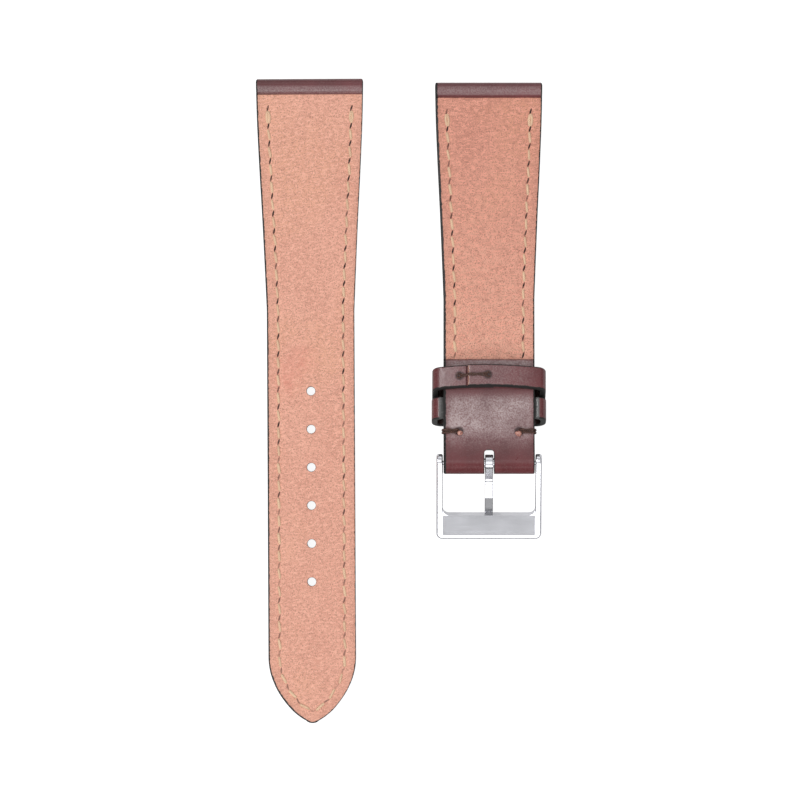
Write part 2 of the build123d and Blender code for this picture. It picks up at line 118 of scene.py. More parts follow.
# Stitching
STITCH_PITCH = 3.25
STITCH_INSET = 2.1
STITCH_START = 5.5
STITCH_END = BAR_DISTANCE - FLAP_LENGTH - 0.7
STITCH_SLANT = math.radians(7)
STITCH_LENGTH = 2.45
DOUBLED_STITCH_LENGTH = 2.85
DOUBLED_STITCH_BOW = 0.27
STITCH_DIVE = 0.62
STITCH_PROUD = 0.02
STITCH_SINK = 0.03
# How much stitches vary in length, angle, place and size
LENGTH_SPREAD = 0.1
ANGLE_SPREAD = 0.06
ASIDE_SPREAD = 0.03
SIZE_RANGE = (0.82, 1.05)
# Depth of a seam's needle holes, and width and depth of the bed between them, on each kind of leather
FRONT_DENT = (0.35, 0.33, 0.3)
LINING_DENT = (0.16, 0.5, 0.05)
# Half length and half width of a needle hole's dimple
NEEDLE_DIMPLE = (0.5, 0.3)
TACK_SEAT = 5.9
TACK_HOLE_DISTANCE = 2.9
TACK_PLIES = 3
TACK_LAY = 1.3
RING_LAY = 1.1
TACK_STRAND_SHARE = 0.72
# Depth of the furrow under a tack, and its half length across and along the flap
TACK_FURROW = (0.22, 1.6, 0.55)

# Keepers
KEEPER_THICKNESS = 1.1
KEEPER_WIDTH = 4.0
KEEPER_CORNER = 0.9
KEEPER_FLOOR = -2.8
FREE_SEAT = 15.2989
FREE_LEAN = math.radians(17)
FREE_SIDE_GAP = 1.0
FREE_RISE = 1.3
FREE_LIFT = 0.4
FREE_LAP = 0.35
LAP_LIFT = 0.72
UNDERLAP_THICKNESS = 0.7
LAP_CLEARANCE = 0.03
LAP_SETBACK = 0.25
LAP_BLEND = 0.3
LAP_EDGE = -4.0
LAP_FADE = 6.34
FIXED_SEAT = 10.3
FIXED_LEAN = math.radians(12)
FIXED_SIDE_GAP = 1.1
FIXED_LEVEL = 1.25
FIXED_END = 4.6
FIXED_SKIVE = 0.4
FIXED_SKIVE_GAP = 0.02
FIXED_SKIVE_BLEND = 0.55
SHOULDER = 9.25
SHOULDER_BLEND = 0.12
STRIP_END_ROUNDING = 0.4
STRIP_INNER_ROUNDING = 0.2
KEEPER_HOLES = (-5.5, -0.25)

# Spring of the spring bar
SPRING_WIRE_RADIUS = 0.09
SPRING_TURNS = 16

# Largest share of a sheet's wall that relief may take
MOST_RELIEF = 0.6

# How fine the modelled leather is: steps in millimetres, and points in each stretch of a section
ROW_STEP = 0.27
PLAN_STEP = 0.05
THREAD_STEP = 0.11
ROLL_POINTS = 38
BEND_POINTS = 6
FOLD_POINTS = 34
TOP_POINTS = 44
CORNER_POINTS = 12
WALL_POINTS = 7
BASE_POINTS = 23
SPRING_POINTS = 160
# Places of a sheet's columns from its edge, close together where its edge and its seam are
EDGE_OFFSETS = (0, 0.03, 0.09, 0.18, 0.3, 0.5, 0.85, 1.2, 1.5)
EDGE_OFFSETS += (1.75, 1.95, 2.1, 2.25, 2.45, 2.7, 3.05, 3.5)
MIDDLE_COLUMNS = 20
COLUMNS = 2 * len(EDGE_OFFSETS) + MIDDLE_COLUMNS
FULL_OFFSETS_HALF = 5.0
STRIP_OFFSETS = (0, 0.03, 0.08, 0.16, 0.28, 0.45, 0.75, 1.15, 1.6)


def body_matrix(kind):
    """Place in the frame, in metres, of a half drawn flat in millimetres with its watch end at y = 0."""
    mounts = {mount["name"]: mount for mount in frame["record"]["mounts"]}
    joints = {joint["name"]: joint for joint in frame["joints"]}
    bore = mounts[kind + "_lug_bore"]
    if kind == "long":
        away = bore["axis"]
        turn = Matrix.Rotation(math.atan2(-away[1], -away[0]), 4, "Z")
    else:
        slide = joints["free_keeper_slide"]["axis"]
        turn = Matrix.Rotation(math.atan2(slide[2], slide[1]), 4, "X")
    back = Matrix.Translation((0, LUG_RADIUS * MM, -LUG_RADIUS * MM))
    return Matrix.Translation(bore["pos_m"]) @ turn @ back @ Matrix.Scale(MM, 4)


# Small steps with rows of points


def columns(*parts):
    """Rows of points or vectors from their columns."""
    return np.stack(parts, axis=1)


def rays(turn):
    """Directions in a section at angles from its upward axis."""
    return columns(np.sin(turn), np.cos(turn))


def one_long(vectors):
    """The same directions as vectors of length 1."""
    return vectors / np.linalg.norm(vectors, axis=1)[:, None]


def steps_between(points):
    """Lengths of the steps from point to point."""
    return np.linalg.norm(np.diff(points, axis=0), axis=1)


def distances_along(points):
    """Distance of each point from the first, along the line."""
    return np.concatenate(([0], np.cumsum(steps_between(points))))


def smooth_curve(points, start=None, end=None, steps=20):
    """Points of a smooth curve through the given points, with its end directions if given."""
    points = np.array(points, float)
    chords = steps_between(points)
    tangents = np.gradient(points, distances_along(points), axis=0)
    if start is not None:
        tangents[0] = start
    if end is not None:
        tangents[-1] = end
    share = np.linspace(0, 1, steps, endpoint=False)[:, None]
    pieces = []
    for n, chord in enumerate(chords):
        pieces.append(
            points[n] * (1 + 2 * share) * (1 - share) ** 2
            + points[n + 1] * share**2 * (3 - 2 * share)
            + tangents[n] * chord * share * (1 - share) ** 2
            - tangents[n + 1] * chord * share**2 * (1 - share)
        )
    return np.vstack([*pieces, points[-1:]])


def resample(points, step):
    """The same line with evenly spaced points."""
    points = np.asarray(points, float)
    lengths = distances_along(points)
    count = max(2, round(lengths[-1] / step) + 1)
    places = np.linspace(0, lengths[-1], count)
    return columns(*(np.interp(places, lengths, column) for column in points.T))


# Outlines and stitch lines of the halves


def taper_edge(tail_width, taper_length, inset):
    """Right-hand edge of a half down to its parallel sides."""
    loss = (LUG_WIDTH - tail_width) / 2
    return smooth_curve(
        [(LUG_WIDTH / 2 - inset - loss * lost, -taper_length * run) for run, lost in TAPER_SHARES]
    )


def long_edge(inset=0):
    """Right-hand edge of the long half, from its watch end to its tip."""
    half = LONG_TAIL_WIDTH / 2 - inset
    shoulder = TIP_LENGTH - LONG_LENGTH
    drop = TIP_LENGTH - inset * TIP_INSET_SHARE
    tip = smooth_curve([(half * x, shoulder - drop * y) for x, y in TIP_SHARES], (0, -1), (-1, 0))
    return np.vstack([taper_edge(LONG_TAIL_WIDTH, LONG_TAPER_LENGTH, inset), tip])


def short_edge(inset=0):
    """Right-hand edge of the short half, from its watch end to past its fold."""
    taper = taper_edge(SHORT_END_WIDTH, SHORT_TAPER_LENGTH, inset)
    return np.vstack([taper, [(SHORT_END_WIDTH / 2 - inset, -SHORT_LENGTH - 1)]])


def mirrored(edge):
    """The same edge on the left-hand side, from its far end back."""
    return (edge * (-1, 1))[::-1]


class Measure:
    """Distances along and across a line drawn in plan."""

    def __init__(self, path):
        self.fine = resample(path, PLAN_STEP)
        self.step = np.linalg.norm(self.fine[1] - self.fine[0])
        self.length = self.step * (len(self.fine) - 1)
        self.run = one_long(np.gradient(self.fine, axis=0))
        self.tree = KDTree(len(self.fine))
        for n, (x, y) in enumerate(self.fine):
            self.tree.insert((x, y, 0), n)
        self.tree.balance()

    def place(self, along):
        """Point and direction at a distance along the line."""
        index = min(max(along / self.step, 0), len(self.fine) - 1.001)
        low = int(index)
        share = index - low
        return self.fine[low] * (1 - share) + self.fine[low + 1] * share, self.run[low]

    def measure(self, x, y):
        """Distances along and across, the latter positive to the left, of many places."""
        found = np.array([self.tree.find((px, py, 0))[1] for px, py in zip(x, y)])
        gap = columns(x, y) - self.fine[found]
        run = self.run[found]
        across = run[:, 0] * gap[:, 1] - run[:, 1] * gap[:, 0]
        along = found * self.step + (run * gap).sum(axis=1)
        return along, across


class StitchRow(Measure):
    """One row of evenly spaced stitches."""

    def __init__(self, path, start, end):
        super().__init__(path)
        self.start = start
        end = end if end > 0 else self.length + end
        self.count = round((end - start) / STITCH_PITCH)
        self.pitch = (end - start) / self.count

    def stitches(self):
        """Middle and direction of each stitch."""
        return [self.place(self.start + self.pitch * (n + 0.5)) for n in range(self.count)]


class Outline:
    """Plan outline of a half, with its stitch rows and its place in the frame."""

    def __init__(self, kind, edge, rows, closed, paint_tilt, paint_inset):
        self.kind = kind
        self.body = kind + "_half"
        self.place = body_matrix(kind)
        self.edge = edge
        self.rows = rows
        self.closed = closed
        self.paint_tilt = paint_tilt
        self.paint_inset = paint_inset
        fine = resample(edge, PLAN_STEP)
        self.fine_y = fine[::-1, 1]
        self.fine_half = fine[::-1, 0]
        self.border = Measure(np.vstack([edge, mirrored(edge)[1:]]) if closed else edge)

    def half_at(self, y):
        """Half width at places along the half."""
        return np.interp(y, self.fine_y, self.fine_half)

    def edge_distance(self, x, y):
        """Distance inwards from the sides."""
        return np.abs(self.border.measure(np.abs(x), y)[1])

    def stitch_place(self, x, y):
        """Distance along the nearest row in stitches and across it in millimetres."""
        best_along = np.zeros(len(x))
        best_across = np.full(len(x), FAR)
        for row in self.rows:
            along, across = row.measure(x, y)
            along = (along - row.start) / row.pitch
            outside = (along < -0.5) | (along > row.count + 0.5)
            across = np.where(outside, FAR, across)
            nearer = np.abs(across) < np.abs(best_across)
            best_along = np.where(nearer, along, best_along)
            best_across = np.where(nearer, across, best_across)
        return best_along, best_across


LONG_STITCHES = long_edge(STITCH_INSET)
LONG = Outline(
    "long",
    long_edge(),
    [StitchRow(np.vstack([LONG_STITCHES, mirrored(LONG_STITCHES)[1:]]), STITCH_START, -STITCH_START)],
    closed=True,
    paint_tilt=0.08,
    paint_inset=0.0,
)
SHORT_STITCHES = short_edge(STITCH_INSET)
SHORT = Outline(
    "short",
    short_edge(),
    [StitchRow(SHORT_STITCHES * (side, 1), STITCH_START, STITCH_END) for side in (-1, 1)],
    closed=False,
    paint_tilt=0.1,
    paint_inset=0.12,
)


# Small steps that every piece is made with


def select_only(*pieces):
    """Deselect everything but these pieces, and make the first of them active."""
    bpy.ops.object.select_all(action="DESELECT")
    for piece in pieces:
        piece.select_set(True)
    bpy.context.view_layer.objects.active = pieces[0]


def apply_modifier(piece, kind, **settings):
    """Finish a piece with one modifier."""
    select_only(piece)
    modifier = piece.modifiers.new(kind.title(), kind)
    for name, value in settings.items():
        setattr(modifier, name, value)
    bpy.ops.object.modifier_apply(modifier=modifier.name)


def edit_all(piece, *steps):
    """Run edit-mode operators, each with its settings, on the whole of a piece."""
    select_only(piece)
    bpy.ops.object.mode_set(mode="EDIT")
    bpy.ops.mesh.select_all(action="SELECT")
    for operator, settings in steps:
        operator(**settings)
    bpy.ops.object.mode_set(mode="OBJECT")


def close_and_orient(piece):
    """Merge points that fell together, and turn every face outwards."""
    edit_all(
        piece,
        (bpy.ops.mesh.remove_doubles, {"threshold": 0.002}),
        (bpy.ops.mesh.dissolve_degenerate, {"threshold": 0.0005}),
        (bpy.ops.mesh.normals_make_consistent, {"inside": False}),
    )


def points_of(piece):
    """Places of a piece's points, one in each row."""
    places = np.empty(len(piece.data.vertices) * 3)
    piece.data.vertices.foreach_get("co", places)
    return places.reshape(-1, 3)


def set_points(piece, places):
    """Move a piece's points to the places given."""
    piece.data.vertices.foreach_set("co", np.asarray(places, float).ravel())
    piece.data.update()


def set_attribute(piece, name, values):
    """Store a number or a vector for each point, for the materials."""
    kind, key = ("FLOAT", "value") if np.ndim(values) == 1 else ("FLOAT_VECTOR", "vector")
    attribute = piece.data.attributes.new(name, kind, "POINT")
    attribute.data.foreach_set(key, np.asarray(values, float).ravel())


def finish_piece(piece, name, body, material, matrix, cad_node, angle=35):
    """Shade a piece, move its points into the frame, hang it under its body and hide the CAD node it stands for.
    """
    piece.name = name
    piece.data.name = name
    piece.data.transform(matrix)
    if material:
        piece.data.materials.clear()
        piece.data.materials.append(material)
    select_only(piece)
    bpy.ops.object.shade_smooth_by_angle(angle=math.radians(angle))
    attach(piece, body)
    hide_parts(cad_node)


def copied(piece):
    """A copy of a piece with its own mesh."""
    copy = piece.copy()
    copy.data = piece.data.copy()
    bpy.context.collection.objects.link(copy)
    return copy


def remove(pieces):
    """Delete pieces that are no longer needed."""
    for piece in pieces:
        bpy.data.objects.remove(piece)


def joined(pieces):
    """One piece out of several."""
    select_only(*pieces)
    bpy.ops.object.join()
    return bpy.context.object


def rounding(distance, radius):
    """How far a face drops below its level at a distance from its rounded edge."""
    inside = np.clip(radius - distance, 0, radius)
    return radius - np.sqrt(radius**2 - inside**2)


def smooth_step(share):
    """A share eased at both ends, and kept between 0 and 1."""
    share = np.clip(share, 0, 1)
    return share * share * (3 - 2 * share)


# Leather sheets


def grid_sheet(across, along):
    """A sheet with two faces: the first half of its points is its grain side, row by row."""
    bpy.ops.mesh.primitive_grid_add(x_subdivisions=across - 1, y_subdivisions=along - 1, size=1)
    sheet = bpy.context.object
    apply_modifier(sheet, "SOLIDIFY", thickness=0.01, offset=-1)
    if len(sheet.data.vertices) != 2 * across * along:
        raise RuntimeError(f"a sheet of {across} by {along} points came out otherwise")
    return sheet


def across_places(half):
    """Places across each row, close together near both edges and the stitches."""
    offsets = np.array(EDGE_OFFSETS) * np.minimum(half / FULL_OFFSETS_HALF, 1)[:, None]
    right = half[:, None] - offsets
    middle = np.linspace(-1, 1, MIDDLE_COLUMNS + 2)[1:-1] * right[:, -1:]
    return np.concatenate([-right, middle, right[:, ::-1]], axis=1)


def watch_end(outline):
    """Rows of the turned watch end: half widths, grain and flesh points, from the hidden tail round."""
    middle = np.array([-LUG_RADIUS, LUG_RADIUS])
    bend = TURN_BEND_RADIUS
    last = math.pi + math.acos((LINING_LEVEL + bend - LUG_RADIUS) / (LUG_RADIUS + bend))
    roll = rays(np.linspace(last, 0, ROLL_POINTS)) * (1, -1)
    bend_middle = middle + (LUG_RADIUS + bend) * roll[0]
    share = np.linspace(1, 0, BEND_POINTS, endpoint=False)
    bend_rays = rays(last - math.pi + share * (math.tau - last)) * (1, -1)
    wall = TURN_THICKNESS + (LUG_RADIUS - LUG_BORE_RADIUS - TURN_THICKNESS) * (1 - share)
    tail_y = np.linspace(-TURN_LENGTH, bend_middle[0], BEND_POINTS, endpoint=False)
    tail = columns(tail_y, np.full(BEND_POINTS, LINING_LEVEL))
    bend_flesh = bend_middle + (bend + wall)[:, None] * bend_rays
    grain = np.vstack([tail, bend_middle + bend * bend_rays, middle + LUG_RADIUS * roll])
    flesh = np.vstack([tail - (0, TURN_THICKNESS), bend_flesh, middle + LUG_BORE_RADIUS * roll])
    return outline.half_at(grain[:, 0]) - rounding(-grain[:, 0], LUG_END_CORNER), grain, flesh


def front_rows(edge):
    """Rows of the flat front of a half, from behind the roll."""
    plan = resample(edge, ROW_STEP)
    plan = plan[plan[:, 1] < -LUG_RADIUS - ROW_STEP / 2]
    y = plan[:, 1]
    from_bore = np.clip(LUG_BORE_RADIUS**2 - (y + LUG_RADIUS) ** 2, 0, None)
    level = np.minimum(FRONT_THICKNESS, LUG_RADIUS - np.sqrt(from_bore))
    return plan[:, 0], columns(y, 0 * y), columns(y, level)


def fold_rows():
    """Rows of the fold and its flap, from under the bar to the flap's end."""
    middle = np.array([-BAR_DISTANCE, FOLD_RADIUS])
    fold = rays(np.linspace(0, math.pi, FOLD_POINTS)) * (-1, -1)
    slope_end = FOLD_SLOPE_LENGTH - BAR_DISTANCE
    count = round(FOLD_SLOPE_LENGTH / ROW_STEP)
    share = np.linspace(0, 1, count + 1)[1:]
    drop = 2 * FOLD_RADIUS - BODY_THICKNESS
    slope_y = -BAR_DISTANCE + FOLD_SLOPE_LENGTH * share
    slope = columns(slope_y, 2 * FOLD_RADIUS - drop * smooth_step(share))
    clear_level = FRONT_THICKNESS + FOLD_CLEARANCE
    bore = middle + FOLD_BORE_RADIUS * rays(np.linspace(0, math.radians(150), CORNER_POINTS))
    under = np.vstack([bore, [(-BAR_DISTANCE + FOLD_BORE_RADIUS, clear_level), (slope_end, clear_level)]])
    under = resample(under, steps_between(under).sum() / count)[1:]
    flap_end = FLAP_LENGTH - BAR_DISTANCE
    flap_y = np.linspace(slope_end, flap_end, round((flap_end - slope_end) / ROW_STEP) + 1)
    flap_y[0] += FOLD_CLEARANCE
    flap = columns(flap_y, np.full(len(flap_y), BODY_THICKNESS))
    grain = np.vstack([middle + FOLD_RADIUS * fold, slope, flap])
    flap_flesh = flap - (0, BODY_THICKNESS - LINING_LEVEL)
    flesh = np.vstack([middle + FOLD_BORE_RADIUS * fold, under, flap_flesh])
    return np.full(len(grain), SHORT_END_WIDTH / 2), grain, flesh


def lining_rows(edge, last=-math.inf):
    """Rows of a lining, whose end against the roll is cut slanting."""
    plan = resample(edge, ROW_STEP)
    plan = plan[plan[:, 1] < -LINING_START - 0.08]
    if math.isfinite(last):
        plan = plan[plan[:, 1] > last + ROW_STEP / 2]
        plan = np.vstack([plan, [(np.interp(last, plan[::-1, 1], plan[::-1, 0]), last)]])
    first = [(plan[0, 0], -LINING_START - step) for step in LINING_SLANT_STEPS]
    plan = np.vstack([first, plan])
    y = plan[:, 1]
    under = np.minimum(y, -LINING_START_UNDER - 0.03 * np.arange(len(y)))
    grain = columns(y, np.full(len(y), BODY_THICKNESS))
    return plan[:, 0], grain, columns(under, np.full(len(y), LINING_LEVEL))


def stacked(*lots):
    """Rows of half widths, grain and flesh points, one lot after the other."""
    return [np.concatenate(parts) for parts in zip(*lots)]


def stitch_dent(along, across, deep, wide, shallow):
    """Depth of the needle holes of a row, and of the bed between them."""
    from_hole = np.abs(along - np.round(along)) * STITCH_PITCH
    length, width = NEEDLE_DIMPLE
    dimple = deep * np.exp(-((from_hole / length) ** 2) - (across / width) ** 2)
    bed = shallow * np.exp(-((across / wide) ** 2))
    return np.maximum(dimple, bed)


def front_dent(outline, x, y, z):
    """Depth of the seam in a front leather, where it isn't folded back."""
    return stitch_dent(*outline.stitch_place(x, y), *FRONT_DENT) * (z < 0.01)


def lining_relief(outline, round_edge, last=-math.inf):
    """Relief of a lining at its edges, its ends and its seam."""

    def relief(x, y, z):
        sides = rounding(outline.edge_distance(x, y), round_edge)
        ends = rounding(np.minimum(-y - LINING_START, y - last), LINING_END_ROUNDING)
        return np.maximum(sides, ends) + stitch_dent(*outline.stitch_place(x, y), *LINING_DENT)

    return relief


def shape_sheet(rows, relief):
    """A sheet of leather over rows of half widths, grain and flesh points, with relief on its grain."""
    half, grain, flesh = rows
    sheet = grid_sheet(COLUMNS, len(half))
    x = across_places(half)
    outside = np.empty((len(half), COLUMNS, 3))
    inside = np.empty((len(half), COLUMNS, 3))
    for face, section in ((outside, grain), (inside, flesh)):
        face[:, :, 0] = x
        face[:, :, 1:] = section[:, None, :]
    depth = inside - outside
    wall = np.linalg.norm(depth[:, :, 1:], axis=2)
    depth[:, :, 0] = 0
    drop = np.minimum(relief(*outside.reshape(-1, 3).T).reshape(wall.shape), wall * MOST_RELIEF)
    outside += depth / wall[:, :, None] * drop[:, :, None]
    set_points(sheet, np.vstack([outside.reshape(-1, 3), inside.reshape(-1, 3)]))
    close_and_orient(sheet)
    return sheet


def dress_sheet(sheet, outline, cut_distance):
    """Give a sheet the distances that its material reads."""
    x, y, z = points_of(sheet).T
    along, across = outline.stitch_place(x, y)
    from_edge = outline.edge_distance(x, y) + outline.paint_tilt * np.tanh(x / 2) - outline.paint_inset
    set_attribute(sheet, "edge_distance", from_edge)
    set_attribute(sheet, "stitch_place", columns(along, across, cut_distance(x, y, z)))


def finish_sheet(sheet, outline, layer, cad_layer, cutters, cut_distance, material):
    """Cut the openings of a half's sheet, and give it its distances and its finish."""
    for cutter in cutters:
        apply_modifier(sheet, "BOOLEAN", operation="DIFFERENCE", solver="EXACT", object=cutter)
    dress_sheet(sheet, outline, cut_distance)
    name = f"{outline.kind}_{layer}_leather"
    cad_node = f"{outline.kind}_{cad_layer}"
    finish_piece(sheet, name, outline.body, material, outline.place, cad_node)


def hole_distance(x, y, z):
    """Distance from the rim of the nearest tongue hole."""
    nth = np.clip(np.round((-y - FIRST_HOLE_DISTANCE) / HOLE_PITCH), 0, HOLE_COUNT - 1)
    return np.hypot(x, y + FIRST_HOLE_DISTANCE + HOLE_PITCH * nth) - HOLE_RADIUS


def no_cut(x, y, z):
    """Distance from the nearest opening of a sheet that has none."""
    return np.full(len(x), FAR)


def slot_distance(x, y, z):
    """Distance from the rim of the tongue slot."""
    reach = np.where(z > FOLD_RADIUS, SLOT_REACH_BACK, SLOT_REACH_FRONT)
    beyond = np.maximum(y + BAR_DISTANCE - reach + SLOT_HALF, 0)
    return np.hypot(x, beyond) - SLOT_HALF


def ring_cap(piece, up, scale, low=False):
    """Extrude the upper or lower end of a cutter and widen it."""
    heights = [face.center.z for face in piece.data.polygons]
    end = min(heights) if low else max(heights)
    select_only(piece)
    bpy.ops.object.mode_set(mode="EDIT")
    bpy.ops.mesh.select_all(action="DESELECT")
    bpy.ops.object.mode_set(mode="OBJECT")
    for face in piece.data.polygons:
        face.select = abs(face.center.z - end) < 1e-4 and abs(face.normal.z) > 0.9
    bpy.ops.object.mode_set(mode="EDIT")
    bpy.ops.mesh.extrude_region_move(TRANSFORM_OT_translate={"value": (0, 0, -up if low else up)})
    bpy.ops.transform.resize(value=(scale, scale, 1), center_override=(0, 0, end))
    bpy.ops.object.mode_set(mode="OBJECT")


def hole_cutter():
    """Six punches whose ends flare, so that the holes get rounded rims."""
    depth = BODY_THICKNESS - 2 * HOLE_RIM
    bpy.ops.mesh.primitive_cylinder_add(vertices=40, radius=HOLE_RADIUS, depth=depth)
    punch = bpy.context.object
    for low in (False, True):
        for up, scale in HOLE_FLARES:
            ring_cap(punch, up, scale, low)
    places = points_of(punch) + (0, -FIRST_HOLE_DISTANCE, BODY_THICKNESS / 2)
    punches = [copied(punch) for _ in range(HOLE_COUNT)]
    for n, copy in enumerate(punches):
        set_points(copy, places - (0, HOLE_PITCH * n, 0))
    remove([punch])
    return joined(punches)


def slot_cutter():
    """Two cutters for the tongue slot: a round, far-reaching one in front and a squarish one behind."""
    cutters = []
    for reach, low, high in SLOT_CUTTERS:
        bpy.ops.mesh.primitive_cylinder_add(vertices=48, radius=SLOT_HALF, depth=high - low)
        cutter = bpy.context.object
        places = points_of(cutter)
        if low > 0:
            share = np.abs(places[:, :2]) / SLOT_HALF
            places[:, :2] = np.sign(places[:, :2]) * SLOT_HALF * np.sqrt(share)
        north = reach - SLOT_HALF - BAR_DISTANCE
        places[:, 1] = np.where(places[:, 1] > -1e-4, places[:, 1] + north, -SHORT_LENGTH - CUT_BEYOND)
        places[:, 2] += (low + high) / 2
        set_points(cutter, places)
        edit_all(cutter, (bpy.ops.mesh.remove_doubles, {"threshold": 0.001}))
        cutters.append(cutter)
    return cutters


def make_long_leather(look, materials):
    """Front leather and lining of the long half, with the tongue holes."""
    round_edge = look.edge_rounding / MM

    def front_relief(x, y, z):
        return rounding(LONG.edge_distance(x, y), round_edge) + front_dent(LONG, x, y, z)

    holes = hole_cutter()
    front = shape_sheet(stacked(watch_end(LONG), front_rows(LONG.edge)), front_relief)
    finish_sheet(front, LONG, "front", "outer", [holes], hole_distance, materials["front"])
    lining = shape_sheet(lining_rows(LONG.edge), lining_relief(LONG, round_edge))
    finish_sheet(lining, LONG, "lining", "lining", [holes], hole_distance, materials["lining"])
    remove([holes])


def make_short_leather(look, materials):
    """Front leather with its fold, and lining, of the short half."""
    round_edge = look.edge_rounding / MM
    flap_end = FLAP_LENGTH - BAR_DISTANCE
    tack = SHORT_END_WIDTH / 2 - TACK_HOLE_DISTANCE / 2
    seat = TACK_SEAT - BAR_DISTANCE
    depth, across, along = TACK_FURROW

    def front_relief(x, y, z):
        in_fold = y < FOLD_PART
        flap_gap = np.where((z > LINING_LEVEL - 0.1) & in_fold, flap_end - y, FAR)
        edge = rounding(np.minimum(SHORT.edge_distance(x, y), flap_gap), round_edge)
        furrow = depth * np.exp(-(((np.abs(x) - tack) / across) ** 4) - ((y - seat) / along) ** 2)
        return edge + front_dent(SHORT, x, y, z) + furrow * in_fold

    flat = front_rows(SHORT.edge)
    keep = flat[1][:, 0] > -BAR_DISTANCE + ROW_STEP / 2
    rows = stacked(watch_end(SHORT), [column[keep] for column in flat], fold_rows())
    front = shape_sheet(rows, front_relief)
    slots = slot_cutter()
    finish_sheet(front, SHORT, "front", "outer", slots, slot_distance, materials["front"])
    remove(slots)
    lining = shape_sheet(lining_rows(SHORT.edge, flap_end), lining_relief(SHORT, round_edge, flap_end))
    finish_sheet(lining, SHORT, "lining", "lining", [], no_cut, materials["short_lining"])


# Stitches


def stitch_blank():
    """One stitch as a short round rod of unit size along X."""
    bpy.ops.mesh.primitive_cylinder_add(vertices=6, radius=1, depth=1, rotation=(0, math.pi / 2, 0))
    rod = bpy.context.object
    bpy.ops.object.transform_apply(rotation=True)
    bpy.ops.object.mode_set(mode="EDIT")
    bpy.ops.mesh.select_mode(type="EDGE")
    bpy.ops.mesh.select_all(action="DESELECT")
    bpy.ops.object.mode_set(mode="OBJECT")
    for edge in rod.data.edges:
        one, two = (rod.data.vertices[n].co for n in edge.vertices)
        edge.select = abs(one.x - two.x) > 0.5
    bpy.ops.object.mode_set(mode="EDIT")
    bpy.ops.mesh.subdivide(number_cuts=7)
    bpy.ops.mesh.select_mode(type="VERT")
    bpy.ops.object.mode_set(mode="OBJECT")
    return rod


def stitch_points(rod, length, radius, dive, side):
    """Points of a stitch whose ends dive into the leather: along, across and up."""
    u, v, w = rod.T
    place = np.sign(u) * 0.5 * np.sin(np.abs(u) * math.pi) ** 0.8
    near_end = smooth_step((np.abs(place) - 0.34) / 0.16)
    thin = 1 - 0.25 * near_end
    belly = 1 + 0.06 * np.cos(place * math.pi)
    up = w * radius * thin * belly * 0.86 - dive * near_end
    return columns(place * length, side * v * radius * thin * belly, side * up)


def lay_stitch(rod, random, radius, level, side, spot, strand):
    """One stitch, or one strand of a doubled one, at its middle and in its direction."""
    middle, run = spot
    unit = points_of(rod)
    copy = copied(rod)
    length = DOUBLED_STITCH_LENGTH if strand else STITCH_LENGTH
    length += random.uniform(-LENGTH_SPREAD, LENGTH_SPREAD)
    shape = stitch_points(unit, length, radius * random.uniform(*SIZE_RANGE), STITCH_DIVE, side)
    turn = math.atan2(run[1], run[0]) + (0 if strand else STITCH_SLANT)
    turn += random.uniform(-ANGLE_SPREAD, ANGLE_SPREAD)
    along = shape[:, 0].copy()
    bow = strand * DOUBLED_STITCH_BOW * np.cos(along / length * math.pi)
    aside = shape[:, 1] + bow + random.uniform(-ASIDE_SPREAD, ASIDE_SPREAD)
    shape[:, 0] = middle[0] + along * math.cos(turn) - aside * math.sin(turn)
    shape[:, 1] = middle[1] + along * math.sin(turn) + aside * math.cos(turn)
    shape[:, 2] += level
    set_points(copy, shape)
    around = np.arctan2(unit[:, 2], unit[:, 1])
    tint = np.full(len(unit), random.uniform(0, 1))
    set_attribute(copy, "ply", columns(along + random.uniform(0, 2), around, tint))
    return copy


def make_thread(look, material, outline, rows, side, hand=""):
    """One thread of a seam: a stitch from each hole to the next, doubled where the seam starts."""
    face = "back" if side > 0 else "front"
    name = f"{outline.kind}_{face}_stitches{hand}"
    cad_node = f"{outline.kind}_{face}_thread{hand}"
    radius = look.thread_thickness / MM / 2
    level = BODY_THICKNESS + STITCH_PROUD if side > 0 else radius + STITCH_SINK
    random = np.random.default_rng(len(name) * 7 + len(cad_node))
    rod = stitch_blank()
    stitches = []
    for row in rows:
        spots = row.stitches()
        starts = (0, len(spots) - 1) if outline.closed else (0,)
        for n, spot in enumerate(spots):
            for strand in (-1, 1) if side > 0 and n in starts else (0,):
                stitches.append(lay_stitch(rod, random, radius, level, side, spot, strand))
    remove([rod])
    thread = joined(stitches)
    finish_piece(thread, name, outline.body, material, outline.place, cad_node, 60)


def make_stitches(look, materials):
    """All the threads of both halves."""
    for side in (1, -1):
        make_thread(look, materials["thread"], LONG, LONG.rows, side)
        for row, hand in zip(SHORT.rows, ("_left", "_right")):
            make_thread(look, materials["thread"], SHORT, [row], side, hand)


# Keepers


